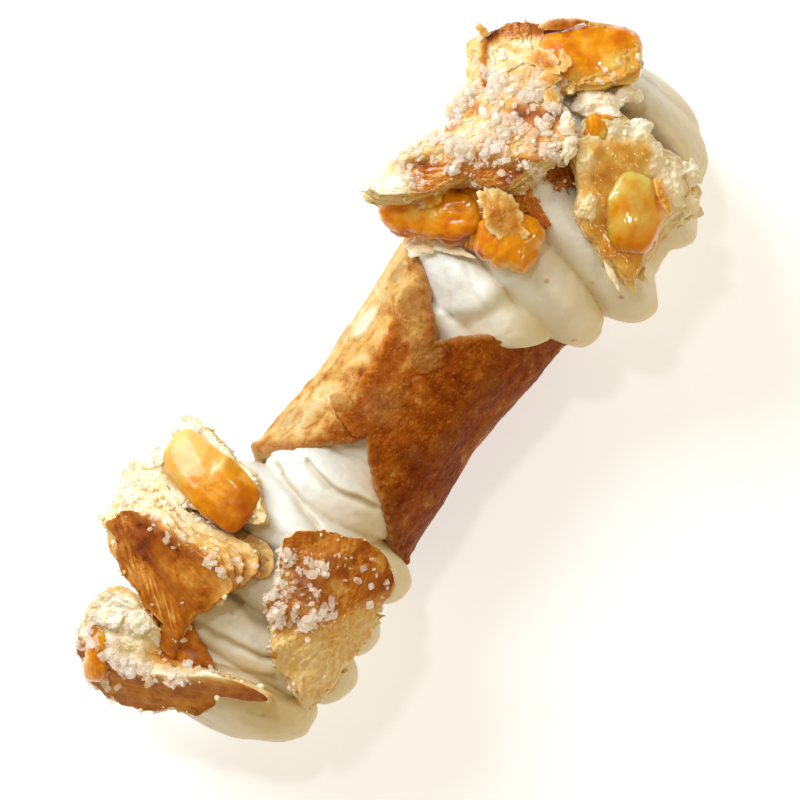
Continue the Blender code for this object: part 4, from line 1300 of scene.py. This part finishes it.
def cut_cube(cut):
    """A cube from -1 to 1 with its corners cut off: 24 points, six eight-sided faces and eight triangles."""
    signs = np.array(list(np.ndindex(2, 2, 2))) * 2.0 - 1
    points = np.repeat(signs, 3, axis=0)
    points[np.arange(24), np.tile(np.arange(3), 8)] *= cut
    eights = []
    for axis in range(3):
        for sign in (-1, 1):
            here = np.flatnonzero(points[:, axis] == sign)
            first, second = (axis + 1) % 3, (axis + 2) % 3
            order = np.argsort(np.arctan2(points[here, second], points[here, first]))
            eights.append(here[order][::sign])
    threes = []
    for corner in range(8):
        three = [3 * corner, 3 * corner + 1, 3 * corner + 2]
        threes.append(three if np.prod(signs[corner]) > 0 else three[::-1])
    return points, np.array(eights), np.array(threes)


def pick_places(sources, count, chance, clumping=0.0):
    """Points, outward directions and point numbers chosen by weight from several surfaces, in clumps where
    asked."""
    points = np.concatenate([points.reshape(-1, 3) for points, _, _ in sources])
    outward = np.concatenate([out.reshape(-1, 3) for _, out, _ in sources])
    weight = np.concatenate([np.maximum(weight, 0).ravel() for _, _, weight in sources])
    crowd = soft_noise(points, 2.6, 85) + 0.6 * soft_noise(points, 1.2, 86)
    weight = weight * (1 - clumping + clumping * 2.5 * smooth_step(0.0, 0.55, crowd))
    chosen = chance.choice(len(points), size=count, p=weight / weight.sum())
    return points[chosen], outward[chosen], chosen


def copies(shape, faces, places, turns, sizes):
    """Many copies of one small shape, each turned, scaled and moved, as one set of arrays."""
    points = np.einsum("nij,npj->npi", turns, shape[None] * sizes[:, None, :]) + places[:, None, :]
    step = (np.arange(len(places)) * len(shape))[:, None, None]
    return points.reshape(-1, 3), [(part[None] + step).reshape(-1, part.shape[1]) for part in faces]


SUGAR_GRAINS = 3000
sugar_chance = np.random.default_rng(11)
# The faint emission is painted light that lifts the grains' shaded faces.
coarse_sugar, sugar_shader = new_finish(
    "coarse_sugar", Roughness=0.1, IOR=1.5, Alpha=0.38, Emission_Color=linear("#FFF3E0"),
    Emission_Strength=0.08)
sugar_colour = colour_ramp(coarse_sugar, mask_of(coarse_sugar, "tint"), (
    (0.0, "#FFFDF8"), (0.6, "#FFF3E0"), (1.0, "#F6DDBA")))
feed(coarse_sugar, sugar_shader, "Base Color", sugar_colour)
grain_places, grain_out, _ = pick_places(sugared, SUGAR_GRAINS, sugar_chance, clumping=0.75)
grain_size = 0.16 + 0.42 * sugar_chance.random(SUGAR_GRAINS) ** 2.6
grain_lift = grain_size * sugar_chance.uniform(0.1, 1.3, SUGAR_GRAINS)
grain_stray = 0.2 * sugar_chance.normal(size=(SUGAR_GRAINS, 3))
grain_places = grain_places + grain_out * grain_lift[:, None] + grain_stray
grain_box = grain_size[:, None] * (0.62 + 0.7 * sugar_chance.random((SUGAR_GRAINS, 3)))
grain_turns = random_turns(SUGAR_GRAINS, sugar_chance)
grain_turns = grain_turns + 0.18 * sugar_chance.normal(size=(SUGAR_GRAINS, 3, 3))
sugar_shape, sugar_eights, sugar_threes = cut_cube(cut=0.55)
sugar_points, sugar_faces = copies(
    sugar_shape, [sugar_eights, sugar_threes], grain_places, grain_turns, grain_box)
sugar_tint = np.repeat(sugar_chance.random(SUGAR_GRAINS), len(sugar_shape))
new_piece("sugar_grains", sugar_points, sugar_faces, coarse_sugar,
          masks={"tint": sugar_tint}, smooth=False)

# ---------------------------------------------------------------------------------------------------------
# Crumbs and flakes: what broke off the sheets when the strudel was torn, still hanging on its edges.


def small_lump(rows, columns, seed):
    """A rough unit ball of few faces."""
    bend = np.linspace(0, math.pi, rows)[:, None]
    turn = np.linspace(0, TAU, columns, endpoint=False)[None, :]
    ball = in_space(np.sin(bend) * np.cos(turn), np.sin(bend) * np.sin(turn), np.cos(bend))
    ball *= (1 + 0.5 * soft_noise(ball, 0.9, seed))[..., None]
    close_poles(ball)
    return ball.reshape(-1, 3), grid_faces(rows, columns)


FLAKE_ROUND = 13


def flake_shape(seed):
    """A thin curled flake as a closed polar grid of unit reach with a ragged outline."""
    turn = np.linspace(0, TAU, FLAKE_ROUND, endpoint=False)[None, :]
    share = np.array([0, 0.55, 1.0, 0.98, 0.5, 0])[:, None]
    side = np.array([1, 1, 0.3, -0.3, -1, -1])[:, None]
    ring = in_space(np.cos(turn), np.sin(turn), seed)
    rips = np.random.default_rng(seed).normal(size=FLAKE_ROUND)
    reach = 1 + 0.5 * soft_noise(ring, 0.7, seed) + 0.25 * rips
    x, y = share * reach * np.cos(turn), 0.6 * share * reach * np.sin(turn)
    curl = 0.3 * x * x - 0.2 * y + 0.15 * soft_noise(in_space(x, y, 3), 0.6, seed)
    flake = in_space(x, y, 0.07 * side + curl)
    close_poles(flake)
    return flake.reshape(-1, 3), grid_faces(*flake.shape[:2])


FLAKE_SHAPES = 6
FLAKES_OF_EACH = 36
baked_like = np.concatenate([bake.ravel() for bake in edge_bakes])
flake_chance = np.random.default_rng(13)
flake_sets = []
for seed in range(FLAKE_SHAPES):
    flake, flake_faces = flake_shape(210 + seed)
    flake_places, flake_out, flake_at = pick_places(
        torn_edges, FLAKES_OF_EACH, flake_chance, clumping=0.5)
    flake_out = flake_out + 0.25 * flake_chance.normal(size=flake_out.shape)
    flake_out /= np.linalg.norm(flake_out, axis=1)[:, None]
    flake_side = np.cross(flake_out, flake_chance.normal(size=flake_out.shape))
    flake_side /= np.linalg.norm(flake_side, axis=1)[:, None]
    flake_turns = np.stack([flake_side, np.cross(flake_out, flake_side), flake_out], axis=-1)
    flake_size = 0.4 + 0.9 * flake_chance.random(FLAKES_OF_EACH) ** 2
    flake_box = flake_chance.uniform((0.8, 0.7, 0.8), (1.2, 1.3, 1.2), (FLAKES_OF_EACH, 3))
    flake_points, (flake_quads,) = copies(
        flake, [flake_faces], flake_places, flake_turns, flake_size[:, None] * flake_box)
    flake_bake = baked_like[flake_at] + flake_chance.uniform(-0.1, 0.14, FLAKES_OF_EACH)
    flake_bake = np.repeat(flake_bake, len(flake))
    flake_sets.append((flake_points, flake_quads + seed * len(flake_points), flake_bake))
flake_bake = np.concatenate([bake for _, _, bake in flake_sets])
new_piece("pastry_flakes", np.concatenate([points for points, _, _ in flake_sets]),
          [np.concatenate([faces for _, faces, _ in flake_sets])], puff_pastry,
          masks={"bake": flake_bake, "flaky": 0.8 + 0 * flake_bake, "glaze": 0 * flake_bake})

CRUMBS = 350
crumb_chance = np.random.default_rng(12)
crumb_places, crumb_out, _ = pick_places(torn_edges, CRUMBS, crumb_chance)
crumb_size = 0.18 + 0.42 * crumb_chance.random(CRUMBS) ** 2
crumb_box = crumb_size[:, None] * (0.6 + 0.8 * crumb_chance.random((CRUMBS, 3)))
crumb_shape, crumb_quads = small_lump(rows=6, columns=8, seed=81)
crumb_places = crumb_places + crumb_out * (crumb_size * 0.3)[:, None]
crumb_points, crumb_faces = copies(
    crumb_shape, [crumb_quads], crumb_places, random_turns(CRUMBS, crumb_chance), crumb_box)
crumb_bake = np.repeat(0.05 + 0.3 * crumb_chance.random(CRUMBS) ** 2, len(crumb_shape))
new_piece("pastry_crumbs", crumb_points, crumb_faces, puff_pastry,
          masks={"bake": crumb_bake, "glaze": 0 * crumb_bake})

# ---------------------------------------------------------------------------------------------------------
# Floor, light and camera: a pale table, a big cool window on the far side of the seam, a small lamp overhead
# and a small warm one from the room on the near side. The camera looks straight down.

table_finish, _ = new_finish(
    "pale_table", Roughness=0.85, Base_Color=linear("#DEE0E2"), Emission_Color=linear("#F8FAFF"),
    Emission_Strength=0.55)
# The table's size, and how far below the food it lies (m).
TABLE_SIZE = 3.0
TABLE_GAP = 0.0002
bpy.ops.mesh.primitive_plane_add(size=TABLE_SIZE, location=(0, 0, -TABLE_GAP))
table = bpy.context.object
table.name = "table"
table.data.materials.append(table_finish)


# The point that every light is turned towards (m).
LIT_POINT = np.array([0, 0, 0.02])


def add_area_light(name, place, size, power, colour):
    """A round area light of a given width at a place, both in metres, with its power in watts."""
    lamp = bpy.data.lights.new(name, "AREA")
    lamp.shape = "DISK"
    lamp.size = size
    lamp.energy = power
    lamp.color = linear(colour)[:3]
    light = bpy.data.objects.new(name, lamp)
    bpy.context.scene.collection.objects.link(light)
    light.location = place
    way = LIT_POINT - place
    way /= np.linalg.norm(way)
    light.rotation_euler = (math.acos(-way[2]), 0, math.atan2(way[1], way[0]) - math.pi / 2)


# Name, place, width, power and colour.
for light in (
    ("window", (0.10, 0.52, 0.40), 0.38, 4.4, "#E6F0FF"),
    ("lamp", (0.12, 0.20, 0.56), 0.05, 0.55, "#FFFFFF"),
    ("room", (0.06, -0.36, 0.42), 0.06, 0.42, "#FFE6C0"),
):
    add_area_light(*light)

world = bpy.data.worlds.new("soft_room")
bpy.context.scene.world = world
world.use_nodes = True
background = world.node_tree.nodes["Background"]
background.inputs["Color"].default_value = linear("#FFE4A6")
background.inputs["Strength"].default_value = 0.35

# The camera stands a little off the tube's middle (mm), at a height in metres.
CAMERA_SHIFT = (-1.4, 0.8)
CAMERA_HEIGHT = 0.495
CAMERA_LENS = 131.7
bpy.context.scene.view_settings.view_transform = "Standard"
camera_data = bpy.data.cameras.new("camera")
camera_data.sensor_width = 36
camera_data.lens = CAMERA_LENS
camera_data.clip_start = 0.01
camera = bpy.data.objects.new("camera", camera_data)
bpy.context.scene.collection.objects.link(camera)
camera.location = (
    (MIDDLE[0] + CAMERA_SHIFT[0]) * MM, (MIDDLE[1] + CAMERA_SHIFT[1]) * MM, CAMERA_HEIGHT)
camera.rotation_euler = (0, 0, -VIEW_TURN)
bpy.context.scene.camera = camera
